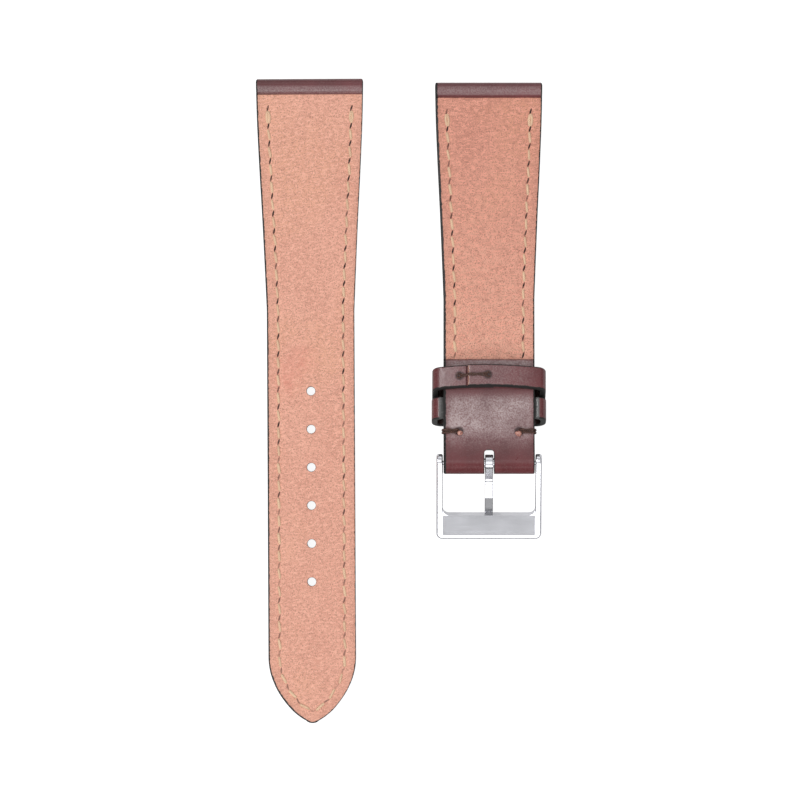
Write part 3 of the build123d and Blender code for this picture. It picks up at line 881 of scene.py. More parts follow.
def band_half(half, low, high, rise):
    """Right half of a keeper's inner outline and its outward directions, from top to bottom middle."""
    corner = KEEPER_CORNER
    inner = half - corner
    if rise:
        radius = (half**2 + rise**2) / (2 * rise)
        middle = high + rise - radius
        meet = math.asin(inner / (radius - corner))
        corner_level = middle + (radius - corner) * math.cos(meet)
        top_out = rays(np.linspace(0, meet, TOP_POINTS, endpoint=False))
        top = (0, middle) + radius * top_out
    else:
        meet = 0
        corner_level = high - corner
        x = np.linspace(0, inner, TOP_POINTS, endpoint=False)
        top = columns(x, np.full(TOP_POINTS, high))
        top_out = columns(0 * x, 0 * x + 1)
    upper_out = rays(np.linspace(meet, math.pi / 2, CORNER_POINTS))
    upper = (inner, corner_level) + corner * upper_out
    lower_out = rays(np.linspace(math.pi / 2, math.pi, CORNER_POINTS))
    lower = (inner, low + corner) + corner * lower_out
    wall_level = np.linspace(corner_level, low + corner, WALL_POINTS + 2)[1:-1]
    wall = columns(np.full(WALL_POINTS, half), wall_level)
    x = np.linspace(inner, 0, BASE_POINTS + 1)[1:]
    base = columns(x, np.full(BASE_POINTS, low))
    wall_out = np.tile([1.0, 0], (WALL_POINTS, 1))
    base_out = np.tile([0, -1.0], (BASE_POINTS, 1))
    outward = np.vstack([top_out, upper_out, wall_out, lower_out, base_out])
    return np.vstack([top, upper, wall, lower, base]), outward


def strip_sheet(inner, outer, seat, level, lean, round_edge, shoulder):
    """A band of strap leather over rows of inner and outer section points, leaning with its wearer."""
    offsets = np.array(STRIP_OFFSETS)
    w = np.concatenate([offsets, [KEEPER_WIDTH / 2], KEEPER_WIDTH - offsets[::-1]])
    strip = grid_sheet(len(w), len(inner))
    gap = np.minimum(w, KEEPER_WIDTH - w)
    wall = np.linalg.norm(outer - inner, axis=1)[:, None]
    out = (outer - inner) / wall
    lengths = distances_along(outer)
    end_gap = np.minimum(lengths, lengths[-1] - lengths)[:, None]
    drop = np.maximum(rounding(gap, round_edge)[None, :], rounding(end_gap, STRIP_END_ROUNDING))
    drop = np.minimum(drop, wall * 0.45)
    lift = np.minimum(rounding(gap, STRIP_INNER_ROUNDING)[None, :], wall * 0.3)
    faces = []
    for base, move in ((outer, -drop), (inner, lift)):
        spot = base[:, None, :] + out[:, None, :] * move[:, :, None]
        face = np.empty((len(inner), len(w), 3))
        face[:, :, 0] = spot[:, :, 0]
        face[:, :, 1] = seat - BAR_DISTANCE - KEEPER_WIDTH / 2 + w + spot[:, :, 1] * math.sin(lean)
        face[:, :, 2] = level + spot[:, :, 1] * math.cos(lean)
        faces.append(face.reshape(-1, 3))
    set_points(strip, np.vstack(faces))
    beside = smooth_step((shoulder + SHOULDER_BLEND / 2 - np.abs(outer[:, 0])) / SHOULDER_BLEND)
    beside = beside * (outer[:, 1] > -1) * (shoulder > 0)
    none = np.zeros(len(inner) * len(w))
    far = np.full(2 * len(none), FAR)
    run = np.tile(np.repeat(lengths, len(w)), 2)
    set_attribute(strip, "edge_distance", np.tile(gap, 2 * len(inner)))
    set_attribute(strip, "shoulder", np.concatenate([np.repeat(beside, len(w)), none]))
    set_attribute(strip, "flesh_side", np.concatenate([none, none + 1]))
    set_attribute(strip, "stitch_place", columns(far, far, run))
    close_and_orient(strip)
    return strip


def make_keeper(look, materials, kind, body, section, seat, level, lean, shoulder=0.0):
    """A keeper over its inner outline, its outward directions, its lift and its height."""
    inner, out, lift, height = section
    inside, outside = inner + out * lift[:, None], inner + out * height[:, None]
    strip = strip_sheet(inside, outside, seat, level, lean, look.edge_rounding / MM, shoulder)
    name = kind + "_keeper_leather"
    finish_piece(strip, name, body, materials["keeper"], SHORT.place, kind + "_keeper")


def make_free_keeper(look, materials):
    """The sliding keeper, whose right-hand end laps over the left-hand one."""
    stretch = 1 / math.cos(FREE_LEAN)
    half = SHORT_END_WIDTH / 2 + FREE_SIDE_GAP
    low = (KEEPER_FLOOR - BODY_THICKNESS) * stretch
    places, outward = band_half(half, low, FREE_LIFT * stretch, FREE_RISE)
    flip = np.array([-1, 1])
    on_top = np.arange(len(places)) < TOP_POINTS
    start = (places[:, 0] < -LAP_EDGE) & on_top
    end = (places[:, 0] < 1) & on_top
    over = places[start][:0:-1] * flip, outward[start][:0:-1] * flip
    left = places[::-1][1:] * flip, outward[::-1][1:] * flip
    under = places[end][1:], outward[end][1:]
    inner = np.vstack([over[0], places, left[0], under[0]])
    out = np.vstack([over[1], outward, left[1], under[1]])
    x = inner[:, 0]
    nth = np.arange(len(inner))
    upper = nth < len(over[0]) + TOP_POINTS
    skived = ~upper & (nth > len(inner) - len(under[0]) - TOP_POINTS)
    fade = np.clip((LAP_FADE - x) / (LAP_FADE - LAP_EDGE), 0, 1)
    lifted = np.where(upper, fade, 0)
    beyond = smooth_step((x - LAP_EDGE + LAP_SETBACK) / LAP_BLEND)
    below = (UNDERLAP_THICKNESS * fade - LAP_CLEARANCE) * beyond + KEEPER_THICKNESS * (1 - beyond)
    height = np.where(skived, below, KEEPER_THICKNESS + FREE_LAP * lifted)
    section = inner, out, LAP_LIFT * lifted, height
    make_keeper(look, materials, "free", "free_keeper", section, FREE_SEAT, BODY_THICKNESS, FREE_LEAN)


def make_fixed_keeper(look, materials):
    """The sewn-in keeper, whose thinned ends lie between the leathers."""
    half = SHORT_END_WIDTH / 2 + FIXED_SIDE_GAP
    high = -KEEPER_THICKNESS / 2
    places, outward = band_half(half, (KEEPER_FLOOR - FIXED_LEVEL) / math.cos(FIXED_LEAN), high, 0)
    flip = np.array([-1, 1])
    shown = (places[:, 0] > FIXED_END) | (np.arange(len(places)) >= TOP_POINTS)
    inner = np.vstack([places[shown], places[::-1][1:] * flip])
    out = np.vstack([outward[shown], outward[::-1][1:] * flip])
    keep = (np.abs(inner[:, 0]) > FIXED_END) | (inner[:, 1] < high - 0.2)
    inner, out = inner[keep], out[keep]
    beside = np.abs(inner[:, 0]) - SHORT_END_WIDTH / 2 - FIXED_SKIVE_GAP
    inwards = 1 - smooth_step(beside / FIXED_SKIVE_BLEND)
    skive = FIXED_SKIVE * np.where(inner[:, 1] > high - 0.05, inwards, 0)
    section = inner, out, skive, KEEPER_THICKNESS - skive
    seat, level, lean = FIXED_SEAT, FIXED_LEVEL, FIXED_LEAN
    make_keeper(look, materials, "fixed", "short_half", section, seat, level, lean, SHOULDER)


# Tack threads


def wires(lines, radius):
    """Closed round wires along lines of points in millimetres, as one piece."""
    made = []
    for line in lines:
        curve = bpy.data.curves.new("wire", "CURVE")
        curve.dimensions = "3D"
        curve.bevel_depth = radius
        curve.bevel_resolution = 2
        curve.use_fill_caps = True
        spline = curve.splines.new("POLY")
        spline.points.add(len(line) - 1)
        spline.points.foreach_set("co", np.hstack([line, np.ones((len(line), 1))]).ravel())
        wire = bpy.data.objects.new("wire", curve)
        bpy.context.collection.objects.link(wire)
        made.append(wire)
    select_only(*made)
    bpy.ops.object.convert(target="MESH")
    piece = joined(bpy.context.selected_objects)
    edit_all(piece, (bpy.ops.mesh.remove_doubles, {"threshold": 0.001}))
    return piece


def twisted_thread(points, radius, material, lay=TACK_LAY):
    """A thread of twisted plies along a smooth line through points in millimetres."""
    line = resample(smooth_curve(points, steps=14), THREAD_STEP)
    run = one_long(np.gradient(line, axis=0))
    aside = one_long(np.cross(run, (0, 1, 0.02)))
    over = np.cross(run, aside)
    way = np.arange(len(line)) * THREAD_STEP / lay * math.tau
    strands = []
    for ply in range(TACK_PLIES):
        turn = (way + math.tau * ply / TACK_PLIES)[:, None]
        strands.append(line + 0.5 * radius * (np.cos(turn) * aside + np.sin(turn) * over))
    thread = wires(strands, radius * 0.6)
    thread.data.materials.append(material)
    return thread


def melted_bead(place, size, seed, material):
    """A small melted end of thread."""
    bpy.ops.mesh.primitive_ico_sphere_add(subdivisions=3, radius=size)
    bead = bpy.context.object
    random = np.random.default_rng(seed)
    ball = points_of(bead)
    lean = random.uniform(-1, 1, (4, 3))
    swell = 1 + 0.12 * np.sin(ball / size @ lean.T * 2.2).sum(axis=1)
    set_points(bead, ball * swell[:, None] * (1, 0.85, 0.7) + place)
    bead.data.materials.append(material)
    return bead


def make_fold_tacks(look, materials):
    """Thread round each edge of the fold, through a hole beside it, with a melted end."""
    radius = look.tack_thickness / MM / 2
    for side, hand, bead in ((-1, "left", 0.52), (1, "right", 0.62)):
        edge = SHORT_END_WIDTH / 2 + radius * 0.5
        hole = SHORT_END_WIDTH / 2 - TACK_HOLE_DISTANCE
        top = BODY_THICKNESS - 0.16 + radius
        low = -radius + 0.2
        y = TACK_SEAT - BAR_DISTANCE
        strands = []
        for shift, rise in ((-0.24, 0.0), (0.25, 0.05)):
            loop = [
                (hole, y + shift, top - 1.3),
                (hole + 0.02, y + shift, top - 0.35),
                (hole + 0.35, y + shift, top + rise - 0.02),
                (hole + 1.3, y + shift * 0.8, top + rise + 0.02),
                (edge - 0.75, y + shift, top + rise),
                (edge - 0.12, y + shift * 1.1, top - 0.32),
                (edge, y + shift, top - 1.1),
                (edge - 0.05, y + shift, low + 0.5),
                (edge - 0.5, y + shift, low + 0.02),
                (hole + 0.5, y + shift, low),
                (hole + 0.02, y + shift, low + 0.5),
                (hole, y + shift, low + 1.3),
            ]
            loop = np.array(loop) * (side, 1, 1)
            strands.append(twisted_thread(loop, radius * TACK_STRAND_SHARE, materials["tack"]))
        place = (side * (hole - 0.1), y - 0.4, BODY_THICKNESS + 0.22)
        strands.append(melted_bead(place, bead, 5 + side, materials["bead"]))
        tack = joined(strands)
        name, cad_node = "fold_tack_thread_" + hand, "fold_tack_" + hand
        finish_piece(tack, name, "short_half", None, SHORT.place, cad_node, angle=70)


def keeper_top_level(x):
    """Height of the free keeper's outside over its level, in its leaning plane."""
    half = SHORT_END_WIDTH / 2 + FREE_SIDE_GAP
    radius = (half**2 + FREE_RISE**2) / (2 * FREE_RISE)
    middle = FREE_LIFT / math.cos(FREE_LEAN) + FREE_RISE - radius
    lap = FREE_LAP * np.clip((LAP_FADE - x) / (LAP_FADE - LAP_EDGE), 0, 1) if x > LAP_EDGE else 0
    return middle + math.sqrt((radius + KEEPER_THICKNESS) ** 2 - x * x) + lap


def on_keeper(x, along, v):
    """Place in the half of a point of the free keeper's leaning plane, moved along the strap."""
    y = FREE_SEAT - BAR_DISTANCE + along + v * math.sin(FREE_LEAN)
    return x, y, BODY_THICKNESS + v * math.cos(FREE_LEAN)


def make_keeper_tack(look, materials):
    """Crossed thread over the lap of the free keeper, through a hole on each side of its edge."""
    radius = look.tack_thickness / MM / 2
    left, right = KEEPER_HOLES
    strands = []
    for shift, cross in ((-0.17, 1), (0.17, -1)):
        spots = [
            (left, shift, -1.35),
            (left + 0.02, shift, -0.3),
            (left + 0.35, shift, 0.12),
            (left + 1.2, shift * 0.3, 0.2),
            (-4.1, -shift * cross * 0.4, 0.3),
            (-3.2, -shift * 0.6, 0.2),
            (right - 1.2, shift * 0.7, 0.2),
            (right - 0.35, shift, 0.12),
            (right - 0.02, shift, -0.3),
            (right, shift, -1.35),
        ]
        line = []
        for x, along, rise in spots:
            v = keeper_top_level(min(max(x, left), right)) + rise - 0.02
            line.append(on_keeper(x, along, v))
        strands.append(twisted_thread(line, radius * TACK_STRAND_SHARE, materials["tack"]))
    for middle, turn in ((left - 0.12, 1), (right + 0.1, -1)):
        ring = []
        for way in np.linspace(0.4, 5.9, 12) * turn:
            x = middle + 0.3 * math.cos(way)
            ring.append(on_keeper(x, 0.42 * math.sin(way), keeper_top_level(x) + 0.1))
        strands.append(twisted_thread(ring, radius * 0.6, materials["tack"], RING_LAY))
    tack = joined(strands)
    name, cad_node = "free_keeper_tack_thread", "free_keeper_thread"
    finish_piece(tack, name, "free_keeper", None, SHORT.place, cad_node, angle=70)


# Spring inside the bar


def make_spring(materials):
    """Coil spring in two halves, one to each side of the bar's middle."""
    low, high = (np.array(corner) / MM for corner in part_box("bar_spring"))
    middle = (low + high) / 2
    half = high[0] - middle[0] - SPRING_WIRE_RADIUS
    radius = high[2] - middle[2] - SPRING_WIRE_RADIUS
    turn = np.linspace(0, SPRING_TURNS / 2 * math.tau, SPRING_POINTS)
    for side, hand in ((-1, "left"), (1, "right")):
        along = side * half * turn / turn[-1]
        line = middle + columns(along, radius * np.cos(turn), side * radius * np.sin(turn))
        coil = wires([line], SPRING_WIRE_RADIUS)
        name, place = "bar_spring_" + hand, Matrix.Scale(MM, 4)
        finish_piece(coil, name, "spring_bar", materials["bar"], place, "bar_spring")
        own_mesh(coil)


# Materials

# Reddened spots of the long lining, as places in the frame in metres, and their radius
FLUSH_RADIUS = 0.0046
LINING_FLUSHES = ((-0.0203, 0.0055, 0.0024), (-0.0186, 0.0075, 0.0024), (-0.0212, 0.0035, 0.0024))
# Where along the frame the painted sheen of reflected light on the flap fades in and out, in metres, and its
# levels
SHEEN_SOUTH = (-0.01, -0.004)
SHEEN_NORTH = (0.0017, -0.0006)
SHEEN_BEYOND = (0.0035, 0.005)
SHEEN_LEVELS = (0.0045, 0.0058)
# Crest of the short half's roll, how far from it the painted highlight on the roll fades out, and how far from the
# keepers' middle their painted sheen fades out
ROLL_CREST = 0.0578
ROLL_SHEEN = (0.001, 0.0004)
KEEPER_SHEEN = (0.0092, 0.006)
# Top of the fold round the bar, which stays dull
DULL_SOUTH = (-0.0113, -0.0119)
DULL_LEVELS = (0.0028, 0.0032)
# Radius of the painted shade that stands for a tack's hole, which is not cut
TACK_HOLE_SHADE_RADIUS = 0.0013
# Bands along the frame where the tongue's reflection is painted grey, how far to each side, and how grey it is
# painted there
TONGUE_GREY_REFLECTIONS = ((-0.0137, 0.0012, 0.8), (-0.0151, 0.00005, 0.25), (-0.0194, 0.0012, 0.2))
# Tone to which the short lining pales from its watch end
PALER_LINING = (0.93, 0.5, 0.365)
# Plies of the seam thread, and the millimetres of thread to each of their turns
LINEN_PLIES = 3
LINEN_LAY = 1.15


def node(tree, kind, inputs=None, **settings):
    """A shader node with its settings, and values or links for its inputs."""
    made = tree.nodes.new("ShaderNode" + kind)
    for name, value in settings.items():
        setattr(made, name, value)
    for socket, value in (inputs or {}).items():
        if isinstance(value, bpy.types.NodeSocket):
            tree.links.new(value, made.inputs[socket])
        else:
            made.inputs[socket].default_value = value
    return made


class Finish:
    """A new material and the steps that its nodes are built with."""

    def __init__(self, name):
        self.material = bpy.data.materials.new(name)
        self.material.use_nodes = True
        self.tree = self.material.node_tree
        self.shader = self.tree.nodes["Principled BSDF"]
        self.object = node(self.tree, "TexCoord").outputs["Object"]
        self.colour = (0.0, 0.0, 0.0, 1.0)

    def noise(self, scale, detail=3.0, roughness=0.55, stretch=None, turn=0.0):
        """Noise value at a number of features per metre, stretched and turned if asked."""
        place = self.object
        if stretch:
            mapping = {"Vector": place, "Scale": stretch, "Rotation": (0, 0, turn)}
            place = node(self.tree, "Mapping", mapping).outputs["Vector"]
        inputs = {"Vector": place, "Scale": scale, "Detail": detail, "Roughness": roughness}
        return node(self.tree, "TexNoise", inputs).outputs["Fac"]

    def cells(self, scale):
        """Distance to the nearest of scattered points."""
        return node(self.tree, "TexVoronoi", {"Vector": self.object, "Scale": scale}).outputs["Distance"]

    def span(self, value, low, high, to_low=0.0, to_high=1.0, smooth=False):
        """A value taken from one range to another."""
        inputs = {"Value": value, "From Min": low, "From Max": high, "To Min": to_low, "To Max": to_high}
        way = "SMOOTHSTEP" if smooth else "LINEAR"
        return node(self.tree, "MapRange", inputs, interpolation_type=way).outputs["Result"]

    def math(self, operation, one, two=0.0):
        """Result of one calculation on values or links."""
        return node(self.tree, "Math", {0: one, 1: two}, operation=operation).outputs["Value"]

    def plus(self, one, two):
        return self.math("ADD", one, two)

    def minus(self, one, two):
        return self.math("SUBTRACT", one, two)

    def times(self, *values):
        """Product of two or more values."""
        product = values[0]
        for value in values[1:]:
            product = self.math("MULTIPLY", product, value)
        return product

    def blend(self, share, one, two):
        """Mix of two colours."""
        made = node(self.tree, "Mix", {"Factor": share}, data_type="RGBA")
        for socket, value in ((made.inputs[6], one), (made.inputs[7], two)):
            if isinstance(value, bpy.types.NodeSocket):
                self.tree.links.new(value, socket)
            else:
                socket.default_value = (*value[:3], 1)
        return made.outputs[2]

    def ground(self, share, dark, light):
        """Start from two tones of the finish, mixed as a mask says."""
        self.colour = self.blend(share, dark, light)

    def coat(self, share, colour):
        """Lay a colour over the colour so far, where its mask says."""
        self.colour = self.blend(share, self.colour, colour)

    def attribute(self, name, output="Fac"):
        """What a piece's mesh holds under a name."""
        return node(self.tree, "Attribute", attribute_name=name).outputs[output]

    def parts(self, vector):
        """X, Y and Z of a vector."""
        return node(self.tree, "SeparateXYZ", {0: vector}).outputs

    def spots(self, places, size):
        """Mask of soft round spots at places in the frame, in metres."""
        total = None
        for place in places:
            ends = {0: self.object, 1: place}
            gap = node(self.tree, "VectorMath", ends, operation="DISTANCE").outputs["Value"]
            spot = self.span(gap, size, 0.0, smooth=True)
            total = spot if total is None else self.math("MAXIMUM", total, spot)
        return total

    def bump(self, height, distance, strength):
        """Normal of a relief, whose depth is in metres."""
        inputs = {"Height": height, "Distance": distance, "Strength": strength}
        return node(self.tree, "Bump", inputs).outputs["Normal"]

    def plug(self, **sockets):
        """Link or set the shader's inputs, with the colour so far as its base."""
        for name, value in {"base_color": self.colour, **sockets}.items():
            socket = self.shader.inputs[name.replace("_", " ").title().replace("Ior", "IOR")]
            if isinstance(value, bpy.types.NodeSocket):
                self.tree.links.new(value, socket)
            else:
                socket.default_value = value
        return self.material


def tone(colour, factor):
    """A lighter or darker tone of a colour."""
    return [min(1, part * factor) for part in colour]


def painted_share(finish, width):
    """Mask of the edge paint, whose limit wavers."""
    waver = finish.span(finish.noise(1500, 2), 0.3, 0.7, -0.07, 0.07)
    distance = finish.math("ADD", finish.attribute("edge_distance"), waver)
    return finish.span(distance, width + 0.06, width - 0.06, smooth=True)


def needle_hole_and_shadow_share(finish, slope, reach, width):
    """Mask of the slanting needle holes of a stitch row, with the painted shadow of the thread beside them."""
    along, across, _ = finish.parts(finish.attribute("stitch_place", "Vector"))
    gap = finish.times(finish.minus(along, finish.math("ROUND", along)), STITCH_PITCH)
    ahead = finish.plus(gap, finish.times(across, slope))
    aside = finish.minus(across, finish.times(gap, slope))
    ahead = finish.math("POWER", finish.math("DIVIDE", ahead, reach), 2)
    aside = finish.math("POWER", finish.math("DIVIDE", aside, width), 2)
    return finish.span(finish.plus(ahead, aside), 1.25, 0.55, smooth=True)


def lining_leather(look, name, light, dark, flushes, paler):
    """Smooth vegetable-tanned calf of the lining: mottle, fine fibres, specks and painted edges."""
    finish = Finish(name)
    south = finish.parts(finish.object)[1]
    broad = finish.noise(110, 4, 0.6)
    cloud = finish.noise(800, 5, 0.7)
    fibre = finish.noise(2500, 3, 0.7, (0.4, 1, 1), math.radians(-32))
    fine = finish.noise(4300, 3, 0.7)
    pores = finish.cells(2600)
    finish.ground(finish.span(broad, 0.3, 0.7), dark, light)
    tan = finish.span(finish.noise(62, 2), 0.46, 0.68, 0.0, 0.55, smooth=True)
    finish.coat(tan, (light[0] * 0.97, light[1] * 0.98, light[2] * 0.84))
    if paler:
        finish.coat(finish.times(finish.span(south, 0.05, 0.006), 0.9), paler)
    finish.coat(finish.span(cloud, 0.44, 0.64, 0.0, 0.55), tone(dark, 0.84))
    finish.coat(finish.span(fibre, 0.46, 0.6, 0.0, 0.85), tone(light, 1.16))
    finish.coat(finish.span(fine, 0.5, 0.64, 0.0, 1.0), tone(dark, 0.68))
    if flushes:
        flushed = finish.times(finish.spots(flushes, FLUSH_RADIUS), finish.span(cloud, 0.3, 0.65, 0.0, 0.6))
        finish.coat(flushed, (dark[0] * 1.02, dark[1] * 0.78, dark[2] * 0.8))
    speck = finish.times(finish.span(pores, 0.13, 0.06), finish.span(finish.noise(900), 0.52, 0.62), 0.5)
    finish.coat(speck, (0.3, 0.13, 0.1))
    handled = finish.times(finish.span(finish.attribute("edge_distance"), 1.5, 0.3, 0.0, 0.35), broad)
    finish.coat(handled, tone(dark, 0.7))
    north = finish.span(south, -0.045, -0.005, 0.6, 1.0)
    uneven = finish.span(finish.noise(140, 2), 0.36, 0.5, 0.5, 1.0)
    # Needle holes with the thread's painted shadow beside them, unevenly dark and fainter to the south
    needle_and_shadow = finish.times(needle_hole_and_shadow_share(finish, -0.28, 0.64, 0.16), finish.times(north, uneven))
    finish.coat(needle_and_shadow, (0.045, 0.024, 0.019))
    cut = finish.parts(finish.attribute("stitch_place", "Vector"))[2]
    finish.coat(finish.span(cut, 0.1, 0.0, smooth=True), (0.09, 0.035, 0.025))
    paint = painted_share(finish, look.paint_width / MM)
    finish.coat(paint, look.paint_colour)
    relief = finish.plus(finish.times(fine, 0.35), finish.times(fibre, 0.5))
    relief = finish.plus(relief, finish.times(cloud, 0.6))
    relief = finish.minus(relief, finish.times(finish.span(pores, 0.14, 0.04), 0.5))
    relief = finish.minus(relief, finish.times(needle_and_shadow, 2.0))
    rough = finish.blend(paint, (0.62, 0.62, 0.62), (0.42, 0.42, 0.42))
    return finish.plug(
        roughness=finish.parts(rough)[0],
        normal=finish.bump(relief, 0.00006, 0.8),
        specular_ior_level=0.35,
    )


def flap_painted_sheen(finish, broad, cloud, fine):
    """Masks of the painted sheen on the flap and of the painted highlight along the roll, and of the dull top of
    the fold.
    """
    _, south, up = finish.parts(finish.object)
    beyond = finish.span(south, *SHEEN_BEYOND, 0.0, 0.7)
    north = finish.math("MAXIMUM", beyond, finish.span(south, *SHEEN_NORTH, smooth=True))
    sheen = finish.times(
        finish.span(up, *SHEEN_LEVELS),
        finish.span(south, *SHEEN_SOUTH, smooth=True),
        north,
        finish.span(finish.attribute("edge_distance"), 0.0, 1.5, 0.35, 1.0, smooth=True),
        finish.span(broad, 0.36, 0.6, 0.55, 1.1),
        finish.span(cloud, 0.36, 0.6, 0.7, 1.05),
        finish.span(fine, 0.38, 0.58, 0.3, 1.15),
    )
    roll = finish.span(finish.math("ABSOLUTE", finish.minus(south, ROLL_CREST)), *ROLL_SHEEN)
    roll = finish.times(roll, finish.span(fine, 0.4, 0.6, 0.12, 0.4))
    dull = finish.times(finish.span(south, *DULL_SOUTH), finish.span(up, *DULL_LEVELS))
    return sheen, roll, dull


def keeper_painted_sheen(finish, fine):
    """Mask of the painted sheen of reflected light along the middle of the keepers."""
    east = finish.minus(finish.parts(finish.object)[0], SHORT.place.translation.x)
    middle = finish.span(finish.math("ABSOLUTE", east), *KEEPER_SHEEN)
    return finish.times(middle, finish.span(fine, 0.4, 0.6, 0.05, 0.24))


def front_leather(look, name, flap):
    """Burgundy polished leather with fine pores, a painted sheen of reflected light and painted edges."""
    finish = Finish(name)
    broad = finish.noise(170, 4, 0.6)
    cloud = finish.noise(620, 5, 0.72)
    fine = finish.noise(3600, 4, 0.7)
    pores = finish.cells(3300)
    base = look.front_colour
    finish.ground(finish.span(broad, 0.3, 0.7), tone(base, 0.8), tone(base, 1.25))
    finish.coat(finish.span(fine, 0.5, 0.72, 0.0, 0.5), (0.24, 0.125, 0.12))
    if flap:
        sheen, roll, dull = flap_painted_sheen(finish, broad, cloud, fine)
        # Painted sheen on the flap, and a painted highlight along the roll's crest
        finish.coat(sheen, look.painted_sheen_colour)
        finish.coat(roll, look.painted_sheen_colour)
        hole, seat = SHORT_END_WIDTH / 2 - TACK_HOLE_DISTANCE, TACK_SEAT - BAR_DISTANCE
        holes = [(side * hole, seat, BODY_THICKNESS) for side in (-1, 1)]
        raw, reach = (0.05, 0.022, 0.02), 0.24
    else:
        dull = 0.0
        # Painted sheen of reflected light along the middle of the keepers
        finish.coat(keeper_painted_sheen(finish, fine), look.painted_sheen_colour)
        # Flesh side inside the loops: its own dark brown, deepened to near black as painted shade inside the loop
        finish.coat(finish.attribute("flesh_side"), (0.04, 0.022, 0.018))
        holes = [on_keeper(x, 0, keeper_top_level(x)) for x in KEEPER_HOLES]
        raw, reach = (0.42, 0.2, 0.14), 0.34
    # Painted shade where each tack thread goes into the leather, standing for its hole
    around = finish.spots([SHORT.place @ Vector(hole) for hole in holes], TACK_HOLE_SHADE_RADIUS)
    finish.coat(finish.span(around, 0.1, 0.5), (0.04, 0.005, 0.006))
    cut = finish.parts(finish.attribute("stitch_place", "Vector"))[2]
    finish.coat(finish.span(cut, reach, reach - 0.16, smooth=True), raw)
    paint = painted_share(finish, look.paint_width / MM)
    finish.coat(paint, look.paint_colour)
    if not flap:
        grey = finish.blend(finish.span(cloud, 0.35, 0.65), (0.1, 0.1, 0.098), (0.16, 0.158, 0.155))
        finish.coat(finish.attribute("shoulder"), grey)
    relief = finish.plus(finish.times(fine, 0.4), finish.times(cloud, 0.9))
    relief = finish.minus(relief, finish.times(finish.span(pores, 0.16, 0.05), 0.5))
    rough = finish.span(cloud, 0.3, 0.7, *((0.27, 0.4) if flap else (0.2, 0.3)))
    return finish.plug(
        roughness=finish.plus(rough, finish.times(paint, 0.22)),
        normal=finish.bump(relief, 0.00005, 0.7),
        specular_ior_level=finish.span(finish.math("MAXIMUM", paint, dull), 0.0, 1.0, 0.75, 0.2),
    )


def edge_paint(look):
    """Dark painted edge of the stiffening layer."""
    finish = Finish("painted edge")
    drag = finish.noise(900, 4, 0.6)
    fine = finish.noise(5000, 2)
    base = look.paint_colour
    finish.ground(finish.span(drag, 0.3, 0.7), tone(base, 0.75), tone(base, 1.35))
    return finish.plug(
        roughness=finish.span(drag, 0.3, 0.7, 0.34, 0.5),
        normal=finish.bump(finish.plus(drag, fine), 0.00004, 0.6),
        specular_ior_level=0.5,
    )


def twisted_linen(look):
    """Waxed linen of the seams: three plies twisted together, with painted shade in the grooves between them."""
    finish = Finish("waxed linen thread")
    along, around, tint = finish.parts(finish.attribute("ply", "Vector"))
    way = finish.plus(finish.times(along, math.tau / LINEN_LAY), around)
    ridge = finish.math("ABSOLUTE", finish.math("SINE", finish.times(way, LINEN_PLIES / 2)))
    fibre = finish.noise(9000, 3, 0.7)
    base = look.thread_colour
    groove_shade = [base[0] * 0.5, base[1] * 0.38, base[2] * 0.3]
    finish.ground(tint, tone(base, 0.93), tone(base, 1.06))
    # Painted shade in the grooves between the plies
    finish.coat(finish.span(ridge, 0.4, 0.0, 0.0, 0.6), groove_shade)
    finish.coat(finish.span(fibre, 0.5, 0.8, 0.0, 0.3), tone(base, 0.78))
    relief = finish.plus(ridge, finish.times(fibre, 0.4))
    return finish.plug(roughness=0.55, normal=finish.bump(relief, 0.00007, 0.9), specular_ior_level=0.4)


def tack_thread(look):
    """Brown waxed thread of the tacks."""
    finish = Finish("brown tack thread")
    wax = finish.noise(1600, 3, 0.6)
    fibre = finish.noise(9000, 3, 0.7)
    base = look.tack_colour
    finish.ground(finish.span(wax, 0.35, 0.7), tone(base, 0.6), tone(base, 1.5))
    # Lighter fibres, which also serve as painted highlights on the thread
    finish.coat(finish.span(fibre, 0.52, 0.72, 0.0, 0.6), (0.5, 0.27, 0.18))
    return finish.plug(
        roughness=finish.span(wax, 0.3, 0.7, 0.35, 0.6),
        normal=finish.bump(fibre, 0.00005, 0.8),
        specular_ior_level=0.5,
    )


def melted_thread():
    """Glossy pinkish end of a tack thread where it was melted."""
    finish = Finish("melted thread end")
    swirl = finish.noise(2600, 3, 0.6)
    finish.ground(finish.span(swirl, 0.35, 0.65), (0.3, 0.1, 0.085), (0.8, 0.42, 0.33))
    return finish.plug(
        roughness=0.25,
        normal=finish.bump(swirl, 0.00006, 0.7),
        specular_ior_level=0.6,
    )


def polished_steel(look, name, lap_scale, soft=0.0, ground=()):
    """Polished stainless steel with a faint lapped grain, and with darker reflections painted in the bands given.
    """
    finish = Finish(name)
    lap = finish.noise(lap_scale, 3, 0.6, (0.08, 1, 1))
    smear = finish.noise(260, 3, 0.6)
    base = look.steel_colour
    finish.ground(finish.span(smear, 0.3, 0.7), tone(base, 0.97), tone(base, 1.01))
    south = finish.parts(finish.object)[1]
    # Darker reflections painted in bands along the tongue
    for middle, reach, grey in ground:
        near = finish.span(finish.math("ABSOLUTE", finish.minus(south, middle)), reach + 0.0001, reach)
        finish.coat(near, (grey, grey, grey * 1.04))
    rough = finish.plus(finish.span(smear, 0.3, 0.7, 0.1, 0.14), finish.span(lap, 0.3, 0.7, 0.0, 0.04))
    return finish.plug(
        metallic=1.0,
        roughness=finish.plus(rough, soft),
        normal=finish.bump(lap, 0.0000015, 0.3),
    )


